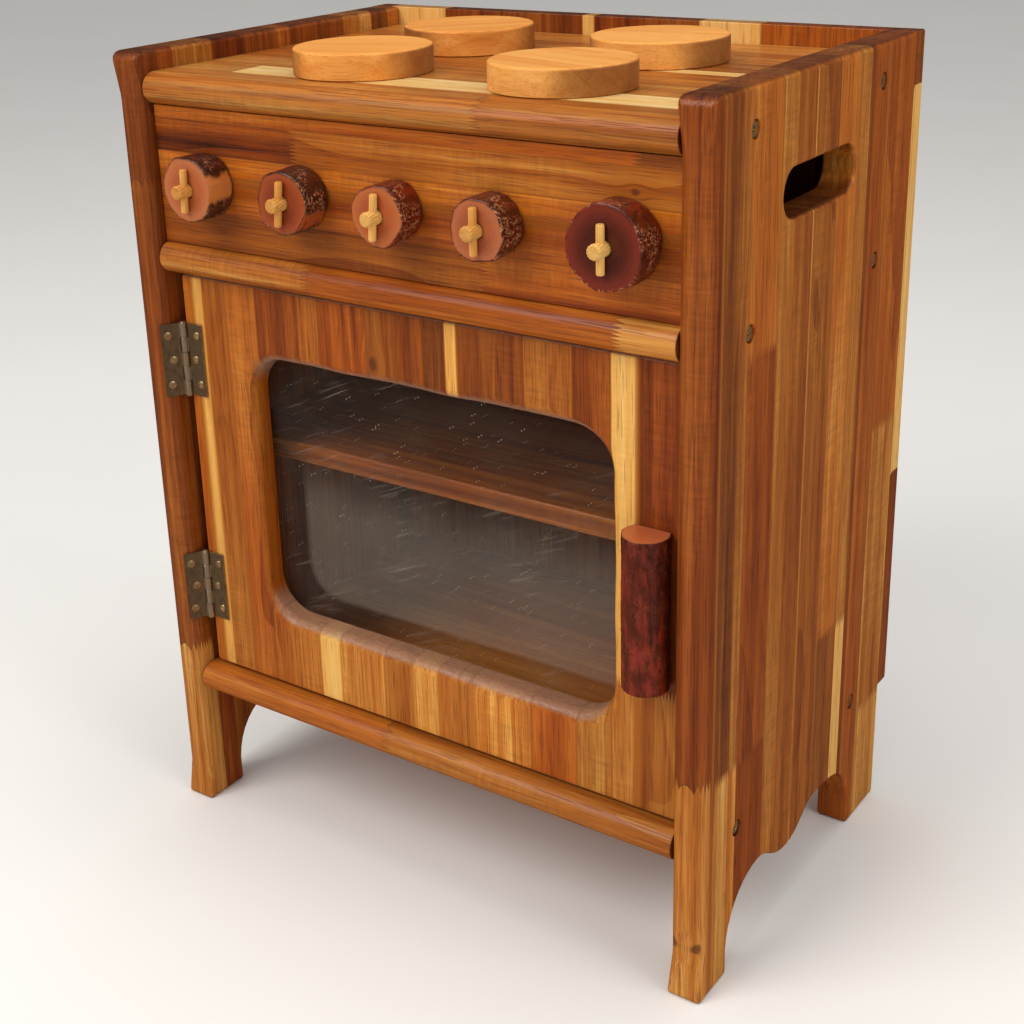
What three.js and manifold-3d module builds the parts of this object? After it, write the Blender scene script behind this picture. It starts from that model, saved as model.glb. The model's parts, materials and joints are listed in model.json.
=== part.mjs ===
// A wooden toy kitchen: an oven cabinet with a hinged door and window, a hob with
// four burners, and five turning knobs cut from a branch.
// Millimetres. +X is the viewer's right, -Y is the front, +Z is up.

import * as THREE from 'three';
import { mergeVertices } from 'three/addons/utils/BufferGeometryUtils.js';
import Module from 'manifold-3d';

const wasm = await Module();
wasm.setup();

// ---------------------------------------------------------------- driving dimensions

const fitGap = 0.3;              // clearance wherever two pieces meet

const overallWidth = 422;
const sideDepth = 266;           // front to back, without the back panel
const sideHeight = 540;
const sideThickness = 22;
const sideNoseRadius = 10;       // rounding of the sides' upright front edges
const sideNoseFlat = 1;          // least half width left flat between two roundings
const sideTopRadius = 4;
const sideCornerRadius = 7;      // top front corner, seen from the side

const frontLegWidth = 35;
const rearLegWidth = 47;
const archRise = 57;             // highest point of the cut between the legs
const archDrop = 42;             // underside of the hanging middle of that cut
const frontScoop = 41;           // from the front leg to the first high point
const rearScoop = 58;
const legStraight = 18;          // upright stretch at the foot of each leg

const gripLength = 97;           // hand slot through each side
const gripHeight = 28;
const gripBelowHob = 33;         // slot centre below the hob board's underside
const gripBehindMiddle = -2;

const boardThickness = 20;
const boardSetback = 3;          // rounded board noses, behind the sides' front
const hobLip = 13;               // how far the sides stand above the hob board
const legClearance = 89;         // floor to the bottom board's underside
const ovenHeight = 289;          // between the bottom and middle boards

const backThickness = 12.7;
const backLowerEdge = 87;

const fasciaThickness = 18;
const fasciaSetback = 11;

const doorThickness = 18;
const doorSetback = 15;
const doorHingeGap = 5.5;
const doorLatchGap = 2.5;
const doorEdgeGap = 2;           // above and below the door

const windowFromHingeEdge = 54.5;
const windowFromLatchEdge = 44.5;
const windowFromBottom = 51.5;
const windowFromTop = 48.5;
const windowRadius = 26;
const paneThickness = 3;
const paneOverlap = 14;          // pane beyond the window, on the door's back
const paneRadius = 6;

const handleRadius = 14.25;
const handleDepth = 22.7;        // out from the door, after its flat back is cut
const handleLength = 95;
const handleFromLatchEdge = 17;  // handle axis from the door's edge
const handleAboveBottom = 91;    // handle's lower end above the door's bottom

const hingeHeight = 50;
const hingeKnuckleRadius = 2.3;
const hingePinRadius = 1.05;
const hingeLeafWidth = 15;
const hingeLeafThickness = 1.2;
const hingeSegments = 5;
const hingeSegmentGap = 0.3;
const hingeInDoorEdge = 0.5;     // knuckle axis, inwards from the door's edge
const upperHingeInset = 58;      // hinge centres from the door's top and bottom
const lowerHingeInset = 61;
const frameLeafAngle = 58;       // frame leaf, turned forward along the side's rounding
const leafHoleRadius = 1.7;
const leafHoleInset = 5.5;
const leafHolePitch = 17;

const knobThickness = 20;
const knobStandoff = 1;
const knobs = [
  { across: -144, radius: 20.5, pinTurn: -4, ovalTurn: 0.4 },
  { across: -67, radius: 20.5, pinTurn: -7, ovalTurn: 1.9 },
  { across: 4, radius: 19.5, pinTurn: -6, ovalTurn: 3.1 },
  { across: 73, radius: 19, pinTurn: 1, ovalTurn: 4.4 },
  { across: 153, radius: 23.7, pinTurn: 0, ovalTurn: 5.6 },
];
const knobDesignReach = 189;     // the knob spacing is drawn for this half width
const knobBelowMiddle = 2.5;     // knob axes below the fascia's middle line
const dowelRadius = 4.5;
const dowelProjection = 10;      // beyond the knob's face
const dowelSocketDepth = 10;     // into the fascia
const crossPinRadius = 2.3;
const crossPinLength = 27;

const burnerRadius = 43;
const burnerThickness = 16;
const burnerEdgeRound = 2;
const burnerCentreX = 10.5;      // middle of the four burners
const burnerCentreY = -11.5;
const burnerPitchX = 143;
const burnerPitchY = 111;

const shelfThickness = 14;
const shelfSetback = 53;         // behind the sides' front
const shelfRearGap = 3;
const shelfAboveFloor = 153;     // underside above the bottom board
const cleatSize = 12;
const cleatEndGap = 20;

const catchWidth = 11;
const catchDepth = 30;
const catchHeight = 32;
const catchBelowTop = 46;        // catch top below the door's top
const strikeThickness = 1.3;
const strikeWidth = 14;
const strikeHeight = 28;
const catchAirGap = 1;

const sideScrewHeadRadius = 5;
const sideScrewHeadHeight = 3.5;
const sideScrewShankRadius = 2.5;
const sideScrewGrip = 28;        // shank length inside a board
const sideScrewSink = 1.2;       // head below the side's face
const sideScrewSocketRadius = 2;
const sideScrewSocketDepth = 2.4;
const frontScrewInset = 45;      // screw lines from the sides' front and rear
const rearScrewInset = 50;

const smallScrewHeadRadius = 3.2;
const smallScrewHeadHeight = 2;
const smallScrewShankRadius = 1.5;
const paneScrewLength = 10;
const paneScrewInset = 7;
const handleScrewBite = 12;      // shank length inside the handle
const handleScrewPitch = 55;

// How many flats stand for a full circle.
const largeFacets = 36;
const roundFacets = 18;
const smallFacets = 10;

// ---------------------------------------------------------------- derived planes

const frontY = -sideDepth / 2;
const rearY = sideDepth / 2;
const innerX = overallWidth / 2 - sideThickness;
const sideRoundLimit = sideThickness / 2 - sideNoseFlat;
const sideNose = Math.min(sideNoseRadius, sideRoundLimit);
const sideTopRound = Math.min(sideTopRadius, sideRoundLimit);
const boardHalf = innerX - fitGap;
const boardRearY = rearY - fitGap;

const bottomTop = legClearance + boardThickness;
const middleBottom = bottomTop + ovenHeight;
const middleTop = middleBottom + boardThickness;
const hobTop = sideHeight - hobLip;
const hobBottom = hobTop - boardThickness;
const boardCentres = [
  legClearance + boardThickness / 2,
  middleBottom + boardThickness / 2,
  hobBottom + boardThickness / 2,
];
const screwLines = [frontY + frontScrewInset, rearY - rearScrewInset];

const fasciaFrontY = frontY + fasciaSetback;
const knobAxisZ = (middleTop + hobBottom) / 2 - knobBelowMiddle;
const knobReach = innerX / knobDesignReach;
const knobBackY = fasciaFrontY - knobStandoff;
const knobFaceY = knobBackY - knobThickness;
const dowelTipY = knobFaceY - dowelProjection;
const crossPinY = knobFaceY - fitGap - crossPinRadius;

const doorLeft = -innerX + doorHingeGap;
const doorRight = innerX - doorLatchGap;
const doorBottom = bottomTop + doorEdgeGap;
const doorTop = middleBottom - doorEdgeGap;
const doorFrontY = frontY + doorSetback;
const doorBackY = doorFrontY + doorThickness;
const windowLeft = doorLeft + windowFromHingeEdge;
const windowRight = doorRight - windowFromLatchEdge;
const windowLow = doorBottom + windowFromBottom;
const windowHigh = doorTop - windowFromTop;
const paneBackY = doorBackY + fitGap + paneThickness;
const handleX = doorRight - handleFromLatchEdge;
const handleLow = doorBottom + handleAboveBottom;
const handleMiddle = handleLow + handleLength / 2;
const handleFlat = handleDepth - handleRadius;
const handleBackY = doorFrontY - fitGap;

const hingeX = doorLeft + hingeInDoorEdge;
const hingeY = doorFrontY - fitGap - hingeKnuckleRadius;
const hingeCentres = [doorTop - upperHingeInset, doorBottom + lowerHingeInset];

const shelfBottom = bottomTop + shelfAboveFloor;
const strikeBackY = doorBackY + fitGap + strikeThickness;
const catchTop = doorTop - catchBelowTop;
const catchX = innerX - fitGap - catchWidth / 2;

const backFrontY = rearY + fitGap;
const backRearY = backFrontY + backThickness;
const originShiftY = -(dowelTipY + backRearY) / 2;

// ---------------------------------------------------------------- finishes

function finish(color, roughness, metalness = 0, extra = {}) {
  return new THREE.MeshStandardMaterial({ color, roughness, metalness, ...extra });
}

const staveWood = finish('#a5672f', 0.45);
const darkWood = finish('#7b4a26', 0.45);
const boardWood = finish('#b27436', 0.42);
const burnerWood = finish('#c98a4e', 0.55);
const barkWood = finish('#5a2a1c', 0.8);
const paleWood = finish('#dcb27c', 0.6);
const clearAcrylic = finish('#c9ccc8', 0.12, 0, { transparent: true, opacity: 0.3 });
const hingeSteel = finish('#8c8b86', 0.35, 1);
const screwSteel = finish('#8f8468', 0.35, 1);
const catchPlastic = finish('#4a3524', 0.5);

// ---------------------------------------------------------------- shape helpers

const towardX = new THREE.Matrix4().makeBasis(
  new THREE.Vector3(0, 1, 0), new THREE.Vector3(0, 0, 1), new THREE.Vector3(1, 0, 0));
const towardFront = new THREE.Matrix4().makeBasis(
  new THREE.Vector3(1, 0, 0), new THREE.Vector3(0, 0, 1), new THREE.Vector3(0, -1, 0));

function extrude(shape, depth, curveSegments) {
  return new THREE.ExtrudeGeometry(shape, { depth, bevelEnabled: false, curveSegments });
}

// A shape drawn in (y, z), running from x = low to x = high.
function prismX(shape, low, high, curveSegments = 8) {
  return extrude(shape, high - low, curveSegments).applyMatrix4(towardX).translate(low, 0, 0);
}

// A shape drawn in (x, z), running from y = front to y = back.
function prismY(shape, front, back, curveSegments = 8) {
  return extrude(shape, back - front, curveSegments).applyMatrix4(towardFront).translate(0, back, 0);
}

// A shape drawn in (x, y), running from z = low to z = high.
function prismZ(shape, low, high, curveSegments = 8) {
  return extrude(shape, high - low, curveSegments).translate(0, 0, low);
}

function rectangle(left, low, right, high) {
  const shape = new THREE.Shape();
  shape.moveTo(left, low);
  shape.lineTo(right, low);
  shape.lineTo(right, high);
  shape.lineTo(left, high);
  shape.closePath();
  return shape;
}

function roundedRectangle(left, low, right, high, radius) {
  const shape = new THREE.Shape();
  shape.moveTo(left + radius, low);
  shape.lineTo(right - radius, low);
  shape.absarc(right - radius, low + radius, radius, -Math.PI / 2, 0);
  shape.lineTo(right, high - radius);
  shape.absarc(right - radius, high - radius, radius, 0, Math.PI / 2);
  shape.lineTo(left + radius, high);
  shape.absarc(left + radius, high - radius, radius, Math.PI / 2, Math.PI);
  shape.lineTo(left, low + radius);
  shape.absarc(left + radius, low + radius, radius, Math.PI, Math.PI * 1.5);
  return shape;
}

function box(left, right, front, back, low, high) {
  return new THREE.BoxGeometry(right - left, back - front, high - low)
    .translate((left + right) / 2, (front + back) / 2, (low + high) / 2);
}

// A round bar from one point to another; its two ends lie on one axis direction.
function bar(from, to, radius, sides = smallFacets) {
  const start = new THREE.Vector3(...from);
  const run = new THREE.Vector3(...to).sub(start);
  const turn = new THREE.Quaternion().setFromUnitVectors(
    new THREE.Vector3(0, 1, 0), run.clone().normalize());
  const middle = start.clone().addScaledVector(run, 0.5);
  return new THREE.CylinderGeometry(radius, radius, run.length(), sides)
    .applyQuaternion(turn)
    .translate(middle.x, middle.y, middle.z);
}

function solid(geometry) {
  const bare = geometry.clone();
  bare.deleteAttribute('normal');
  bare.deleteAttribute('uv');
  const welded = mergeVertices(bare, 1e-4);
  return new wasm.Manifold(new wasm.Mesh({
    numProp: 3,
    vertProperties: new Float32Array(welded.attributes.position.array),
    triVerts: new Uint32Array(welded.index.array),
  }));
}

function surface(manifold) {
  const mesh = manifold.getMesh();
  const geometry = new THREE.BufferGeometry();
  geometry.setAttribute('position', new THREE.BufferAttribute(mesh.vertProperties, 3));
  geometry.setIndex(new THREE.BufferAttribute(mesh.triVerts, 1));
  geometry.computeVertexNormals();
  return geometry;
}

function cut(geometry, tools) {
  return surface(tools.reduce((left, tool) => left.subtract(solid(tool)), solid(geometry)));
}

function join(geometries) {
  return surface(geometries.slice(1).reduce((sum, next) => sum.add(solid(next)), solid(geometries[0])));
}

function common(geometries) {
  return surface(geometries.slice(1).reduce((sum, next) => sum.intersect(solid(next)), solid(geometries[0])));
}

function piece(parent, name, geometry, material, position = [0, 0, 0], rotation = [0, 0, 0]) {
  const mesh = new THREE.Mesh(geometry, material);
  mesh.name = name;
  mesh.position.set(...position);
  mesh.rotation.set(...rotation);
  parent.add(mesh);
  return mesh;
}

// ---------------------------------------------------------------- sides

// Outline of a side panel in (y, z), with the cut between its two legs.
function sideOutline() {
  const legFront = frontY + frontLegWidth;
  const legRear = rearY - rearLegWidth;
  const peakFront = legFront + frontScoop;
  const peakRear = legRear - rearScoop;
  const dropY = (peakFront + peakRear) / 2;
  const shoulder = (archRise + legStraight) / 2;
  const swing = (peakRear - peakFront) / 4;
  const shape = new THREE.Shape();
  shape.moveTo(frontY, 0);
  shape.lineTo(legFront, 0);
  shape.lineTo(legFront, legStraight);
  shape.bezierCurveTo(
    legFront + 2, shoulder + 5, legFront + frontScoop / 2, archRise, peakFront, archRise);
  shape.bezierCurveTo(
    peakFront + swing * 0.8, archRise, peakFront + swing, archDrop, dropY, archDrop);
  shape.bezierCurveTo(
    peakRear - swing, archDrop, peakRear - swing * 0.8, archRise, peakRear, archRise);
  shape.bezierCurveTo(
    peakRear + rearScoop * 0.7, archRise, legRear - 4, shoulder + 8, legRear, legStraight);
  shape.lineTo(legRear, 0);
  shape.lineTo(rearY, 0);
  shape.lineTo(rearY, sideHeight);
  shape.lineTo(frontY + sideCornerRadius, sideHeight);
  shape.absarc(
    frontY + sideCornerRadius, sideHeight - sideCornerRadius, sideCornerRadius,
    Math.PI / 2, Math.PI);
  shape.closePath();
  return shape;
}

function gripOutline() {
  const radius = gripHeight / 2;
  const z = hobBottom - gripBelowHob;
  const y = gripBehindMiddle;
  return roundedRectangle(
    y - gripLength / 2, z - radius, y + gripLength / 2, z + radius, radius - 0.01);
}

// Plan of a side: square at the back, fully rounded along the front.
function sidePlan() {
  const half = sideThickness / 2;
  const radius = sideNose;
  const shape = new THREE.Shape();
  shape.moveTo(half, rearY);
  shape.lineTo(-half, rearY);
  shape.lineTo(-half, frontY + radius);
  shape.absarc(-half + radius, frontY + radius, radius, Math.PI, Math.PI * 1.5);
  shape.lineTo(half - radius, frontY);
  shape.absarc(half - radius, frontY + radius, radius, -Math.PI / 2, 0);
  shape.closePath();
  return shape;
}

// Front view of a side: square at the floor, eased along the top.
function sideFrontView() {
  const half = sideThickness / 2;
  const radius = sideTopRound;
  const shape = new THREE.Shape();
  shape.moveTo(-half, 0);
  shape.lineTo(half, 0);
  shape.lineTo(half, sideHeight - radius);
  shape.absarc(half - radius, sideHeight - radius, radius, 0, Math.PI / 2);
  shape.lineTo(-half + radius, sideHeight);
  shape.absarc(-half + radius, sideHeight - radius, radius, Math.PI / 2, Math.PI);
  shape.closePath();
  return shape;
}

function forEachSideScrew(visit) {
  for (const z of boardCentres) {
    for (const y of screwLines) {
      visit(y, z);
    }
  }
}

// The flat that the frame leaf of a hinge lies on, as a tool in the side's own frame.
function hingeSeat(centreZ, panelX) {
  const reach = hingeLeafWidth + 1.5;
  const seatZ = hingeHeight / 2 + fitGap;
  return box(
    -hingeKnuckleRadius, reach, -hingeKnuckleRadius - fitGap, sideNose, -seatZ, seatZ)
    .rotateZ(THREE.MathUtils.degToRad(frameLeafAngle - 180))
    .translate(hingeX - panelX, hingeY, centreZ);
}

function sidePanel(group, name, hand, material) {
  const half = sideThickness / 2;
  const panelX = hand * (overallWidth / 2 - half);
  const outline = sideOutline();
  outline.holes.push(gripOutline());
  const body = common([
    prismX(outline, -half, half, 9),
    prismZ(sidePlan(), -1, sideHeight + 1, 6),
    prismY(sideFrontView(), frontY - 1, rearY + 1, 3),
  ]);
  const tools = [];
  forEachSideScrew((y, z) => {
    const faceX = hand * half;
    const sinkX = faceX - hand * (sideScrewSink + sideScrewHeadHeight + fitGap);
    tools.push(bar([faceX + hand, y, z], [sinkX, y, z], sideScrewHeadRadius + fitGap, roundFacets));
    tools.push(bar([faceX + hand, y, z], [-faceX - hand, y, z], sideScrewShankRadius + fitGap));
  });
  if (hand < 0) {
    for (const z of hingeCentres) {
      tools.push(hingeSeat(z, panelX));
    }
  }
  piece(group, name, cut(body, tools), material, [panelX, 0, 0]);
}

// ---------------------------------------------------------------- boards

// A board drawn in (y, z) about its own centre height, with a half-round front edge.
function boardOutline(frontEdgeY, rearEdgeY) {
  const radius = boardThickness / 2;
  const shape = new THREE.Shape();
  shape.moveTo(rearEdgeY, -radius);
  shape.lineTo(rearEdgeY, radius);
  shape.lineTo(frontEdgeY + radius, radius);
  shape.absarc(frontEdgeY + radius, 0, radius, Math.PI / 2, Math.PI * 1.5);
  shape.closePath();
  return shape;
}

function carcassBoard(group, name, centreZ, material) {
  const outline = boardOutline(frontY + boardSetback, boardRearY);
  const pilotEnd = boardHalf - sideScrewGrip - fitGap;
  const pilots = [];
  for (const hand of [-1, 1]) {
    for (const y of screwLines) {
      pilots.push(bar(
        [hand * (boardHalf + 1), y, 0], [hand * pilotEnd, y, 0], sideScrewShankRadius + fitGap));
    }
  }
  const body = cut(prismX(outline, -boardHalf, boardHalf, 12), pilots);
  piece(group, name, body, material, [0, 0, centreZ]);
}

function backPanel(group) {
  const half = overallWidth / 2;
  const panel = new THREE.BoxGeometry(half * 2, backThickness, sideHeight - backLowerEdge);
  const centreZ = (sideHeight + backLowerEdge) / 2;
  piece(group, 'back_panel', panel, darkWood, [0, backFrontY + backThickness / 2, centreZ]);
}

function knobX(knob) {
  return knob.across * knobReach;
}

function fascia(group) {
  const low = middleTop + fitGap;
  const high = hobBottom - fitGap;
  const blank = box(
    -boardHalf, boardHalf, fasciaFrontY, fasciaFrontY + fasciaThickness, low, high);
  const sockets = knobs.map((knob) => bar(
    [knobX(knob), fasciaFrontY - 1, knobAxisZ],
    [knobX(knob), fasciaFrontY + dowelSocketDepth + fitGap, knobAxisZ],
    dowelRadius + fitGap, roundFacets));
  piece(group, 'fascia', cut(blank, sockets), boardWood);
}

// ---------------------------------------------------------------- screws

// A socket head bolt along +X: its head ends at x = 0 and its shank runs to -length.
function socketBolt(length) {
  const profile = [
    [0, -length],
    [sideScrewShankRadius * 0.6, -length],
    [sideScrewShankRadius, -length + 2],
    [sideScrewShankRadius, -sideScrewHeadHeight],
    [sideScrewHeadRadius, -sideScrewHeadHeight],
    [sideScrewHeadRadius, -0.7],
    [sideScrewHeadRadius - 0.7, 0],
    [0, 0],
  ].map(([radius, along]) => new THREE.Vector2(radius, along));
  const body = new THREE.LatheGeometry(profile, smallFacets);
  const socket = new THREE.CylinderGeometry(
    sideScrewSocketRadius, sideScrewSocketRadius, sideScrewSocketDepth * 2, 6);
  return cut(body, [socket]).rotateZ(-Math.PI / 2);
}

function sideScrews(group) {
  const faceX = overallWidth / 2 - sideScrewSink;
  const length = faceX - boardHalf + sideScrewGrip;
  const bolt = socketBolt(length);
  for (const [side, hand] of [['left', -1], ['right', 1]]) {
    let count = 0;
    forEachSideScrew((y, z) => {
      count += 1;
      const turn = hand > 0 ? 0 : Math.PI;
      piece(group, `${side}_screw_${count}`, bolt, screwSteel, [hand * faceX, y, z], [0, 0, turn]);
    });
  }
}

// A small pan head screw driven towards the front: its head's underside is at y = 0.
function smallScrew(length) {
  const profile = [
    [0, -smallScrewHeadHeight],
    [smallScrewHeadRadius * 0.7, -smallScrewHeadHeight],
    [smallScrewHeadRadius, -smallScrewHeadHeight * 0.5],
    [smallScrewHeadRadius, 0],
    [smallScrewShankRadius, 0],
    [smallScrewShankRadius, length - 2],
    [0, length],
  ].map(([radius, along]) => new THREE.Vector2(radius, along));
  return new THREE.LatheGeometry(profile, smallFacets).rotateZ(Math.PI);
}

// ---------------------------------------------------------------- door

function paneScrewPlaces() {
  const places = [];
  for (const x of [windowLeft - paneScrewInset, windowRight + paneScrewInset]) {
    for (const z of [windowLow - paneScrewInset, windowHigh + paneScrewInset]) {
      places.push([x, z]);
    }
  }
  return places;
}

function handleScrewPlaces() {
  return [-1, 1].map((end) => [handleX, handleMiddle + end * handleScrewPitch / 2]);
}

function doorPanel(group) {
  const outline = rectangle(doorLeft, doorBottom, doorRight, doorTop);
  outline.holes.push(roundedRectangle(windowLeft, windowLow, windowRight, windowHigh, windowRadius));
  const clear = smallScrewShankRadius + fitGap;
  const tools = [];
  for (const [x, z] of paneScrewPlaces()) {
    const tip = doorBackY + paneThickness + fitGap * 2 - paneScrewLength - fitGap;
    tools.push(bar([x, doorBackY + 1, z], [x, tip, z], clear));
  }
  for (const [x, z] of handleScrewPlaces()) {
    tools.push(bar([x, doorBackY + 1, z], [x, doorFrontY - 1, z], clear));
  }
  const body = cut(prismY(outline, doorFrontY, doorBackY, 10), tools);
  piece(group, 'door_panel', body, staveWood);
}

function windowPane(group) {
  const outline = roundedRectangle(
    windowLeft - paneOverlap, windowLow - paneOverlap,
    windowRight + paneOverlap, windowHigh + paneOverlap, paneRadius);
  const front = doorBackY + fitGap;
  const holes = paneScrewPlaces().map(([x, z]) => bar(
    [x, front - 1, z], [x, paneBackY + 1, z], smallScrewShankRadius + fitGap));
  const body = cut(prismY(outline, front, paneBackY, 4), holes);
  piece(group, 'window_pane', body, clearAcrylic);
  const headY = paneBackY + fitGap;
  paneScrewPlaces().forEach(([x, z], index) => {
    piece(group, `pane_screw_${index + 1}`, smallScrew(paneScrewLength), screwSteel, [x, headY, z]);
  });
}

// A length of branch standing upright, split flat along its back.
function doorHandle(group) {
  const facets = 30;
  const points = [];
  for (let step = 0; step < facets; step += 1) {
    const angle = (step / facets) * Math.PI * 2;
    const radius = handleRadius * (1 + 0.02 * Math.cos(2 * angle + 1) + 0.015 * Math.cos(3 * angle));
    points.push(new THREE.Vector2(radius * Math.cos(angle), radius * Math.sin(angle)));
  }
  const branch = prismZ(new THREE.Shape(points), 0, handleLength);
  const waste = box(
    -handleRadius * 2, handleRadius * 2, handleFlat, handleRadius * 2, -1, handleLength + 1);
  const pilots = handleScrewPlaces().map(([, z]) => bar(
    [0, handleFlat + 1, z - handleLow], [0, handleFlat - handleScrewBite - fitGap, z - handleLow],
    smallScrewShankRadius + fitGap));
  const body = cut(branch, [waste, ...pilots]);
  piece(group, 'door_handle', body, barkWood, [handleX, handleBackY - handleFlat, handleLow]);
  const length = doorThickness + fitGap * 2 + handleScrewBite;
  handleScrewPlaces().forEach(([x, z], index) => {
    piece(group, `handle_screw_${index + 1}`, smallScrew(length), screwSteel,
      [x, doorBackY + fitGap, z]);
  });
}

// ---------------------------------------------------------------- hinges

// A hinge leaf about its knuckle axis: the plate runs along +x, and back (+1 or -1)
// says on which side of the axis, along y, the wood is.
function hingeLeaf(back, ownsSegment) {
  const outer = hingeKnuckleRadius;
  const inner = hingePinRadius + fitGap;
  const plateSide = [back * outer, back * (outer - hingeLeafThickness)].sort((a, b) => a - b);
  const half = hingeHeight / 2;
  const pitch = hingeHeight / hingeSegments;
  const parts = [box(outer + fitGap, hingeLeafWidth, plateSide[0], plateSide[1], -half, half)];
  for (let segment = 0; segment < hingeSegments; segment += 1) {
    if (ownsSegment(segment)) {
      const low = -half + segment * pitch + (segment > 0 ? hingeSegmentGap / 2 : 0);
      const last = segment === hingeSegments - 1;
      const high = -half + (segment + 1) * pitch - (last ? 0 : hingeSegmentGap / 2);
      parts.push(bar([0, 0, low], [0, 0, high], outer, roundFacets));
      parts.push(box(0, outer + fitGap * 2, plateSide[0], plateSide[1], low, high));
    }
  }
  const tools = [bar([0, 0, -half - 1], [0, 0, half + 1], inner)];
  for (const row of [-1, 0, 1]) {
    const x = hingeLeafWidth - leafHoleInset + (row === 0 ? -1.5 : 1);
    tools.push(bar([x, -outer * 2, row * leafHolePitch], [x, outer * 2, row * leafHolePitch],
      leafHoleRadius));
  }
  return cut(join(parts), tools);
}

function hinges(group) {
  const frameLeaf = hingeLeaf(-1, (segment) => segment % 2 === 0);
  const doorLeaf = hingeLeaf(1, (segment) => segment % 2 === 1);
  const pinProfile = [
    [0, -hingeHeight / 2 - 1],
    [hingePinRadius * 1.5, -hingeHeight / 2 - 1],
    [hingePinRadius * 1.5, -hingeHeight / 2 - fitGap],
    [hingePinRadius, -hingeHeight / 2 - fitGap],
    [hingePinRadius, hingeHeight / 2 + fitGap],
    [hingePinRadius * 1.5, hingeHeight / 2 + fitGap],
    [hingePinRadius * 1.5, hingeHeight / 2 + 1],
    [0, hingeHeight / 2 + 1],
  ].map(([radius, along]) => new THREE.Vector2(radius, along));
  const pin = new THREE.LatheGeometry(pinProfile, smallFacets).rotateX(Math.PI / 2);
  hingeCentres.forEach((z, index) => {
    const place = new THREE.Group();
    place.position.set(hingeX, hingeY, z);
    const label = index === 0 ? 'upper' : 'lower';
    const turn = THREE.MathUtils.degToRad(frameLeafAngle - 180);
    piece(place, `${label}_hinge_frame_leaf`, frameLeaf, hingeSteel, [0, 0, 0], [0, 0, turn]);
    piece(place, `${label}_hinge_door_leaf`, doorLeaf, hingeSteel);
    piece(place, `${label}_hinge_pin`, pin, hingeSteel);
    group.add(place);
  });
}

// ---------------------------------------------------------------- knobs

// A slice of branch, slightly out of round, bored for its dowel; its back is at y = 0.
function knobSlice(knob) {
  const facets = 32;
  const points = [];
  for (let step = 0; step < facets; step += 1) {
    const angle = (step / facets) * Math.PI * 2;
    const wobble = 0.025 * Math.cos(2 * angle + knob.ovalTurn)
      + 0.012 * Math.cos(3 * angle + knob.ovalTurn * 2);
    const radius = knob.radius * (1 + wobble);
    points.push(new THREE.Vector2(radius * Math.cos(angle), radius * Math.sin(angle)));
  }
  const slice = prismY(new THREE.Shape(points), -knobThickness, 0);
  return cut(slice, [bar([0, -knobThickness - 1, 0], [0, 1, 0], dowelRadius + fitGap, roundFacets)]);
}

// The fixed dowel that a knob turns on, from its end in the fascia (y = 0) to its tip.
function knobDowel() {
  const tip = fasciaFrontY + dowelSocketDepth - dowelTipY;
  const profile = [
    [0, 0],
    [dowelRadius - 1, 0],
    [dowelRadius, 1],
    [dowelRadius, tip - 1.2],
    [dowelRadius - 1.2, tip],
    [0, tip],
  ].map(([radius, along]) => new THREE.Vector2(radius, along));
  return new THREE.LatheGeometry(profile, roundFacets).rotateZ(Math.PI);
}

function crossPin() {
  const half = crossPinLength / 2;
  const profile = [
    [0, -half],
    [crossPinRadius - 0.5, -half],
    [crossPinRadius, -half + 0.5],
    [crossPinRadius, half - 0.5],
    [crossPinRadius - 0.5, half],
    [0, half],
  ].map(([radius, along]) => new THREE.Vector2(radius, along));
  return new THREE.LatheGeometry(profile, smallFacets).rotateX(Math.PI / 2);
}

function knobRow(group) {
  const socketEndY = fasciaFrontY + dowelSocketDepth;
  knobs.forEach((knob, index) => {
    const place = new THREE.Group();
    place.position.set(knobX(knob), 0, knobAxisZ);
    const turn = THREE.MathUtils.degToRad(knob.pinTurn);
    const pinHole = bar([0, 0, -dowelRadius * 2], [0, 0, dowelRadius * 2], crossPinRadius + fitGap)
      .rotateY(turn)
      .translate(0, crossPinY - socketEndY, 0);
    piece(place, `knob_${index + 1}`, knobSlice(knob), barkWood, [0, knobBackY, 0]);
    piece(place, `knob_dowel_${index + 1}`, cut(knobDowel(), [pinHole]), paleWood, [0, socketEndY, 0]);
    piece(place, `knob_cross_pin_${index + 1}`, crossPin(), paleWood, [0, crossPinY, 0], [0, turn, 0]);
    group.add(place);
  });
}

// ---------------------------------------------------------------- hob and oven

function burners(group) {
  const base = burnerThickness;
  const edge = burnerEdgeRound;
  const profile = [
    [0, 0],
    [burnerRadius - edge / 2, 0],
    [burnerRadius, edge / 2],
    [burnerRadius, base - edge],
    [burnerRadius - edge, base],
    [0, base],
  ].map(([radius, along]) => new THREE.Vector2(radius, along));
  const disc = new THREE.LatheGeometry(profile, largeFacets).rotateX(Math.PI / 2);
  for (const [row, alongY] of [['front', -1], ['rear', 1]]) {
    for (const [side, alongX] of [['left', -1], ['right', 1]]) {
      const x = burnerCentreX + alongX * burnerPitchX / 2;
      const y = burnerCentreY + alongY * burnerPitchY / 2;
      piece(group, `burner_${row}_${side}`, disc, burnerWood, [x, y, hobTop + fitGap]);
    }
  }
}

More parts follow.
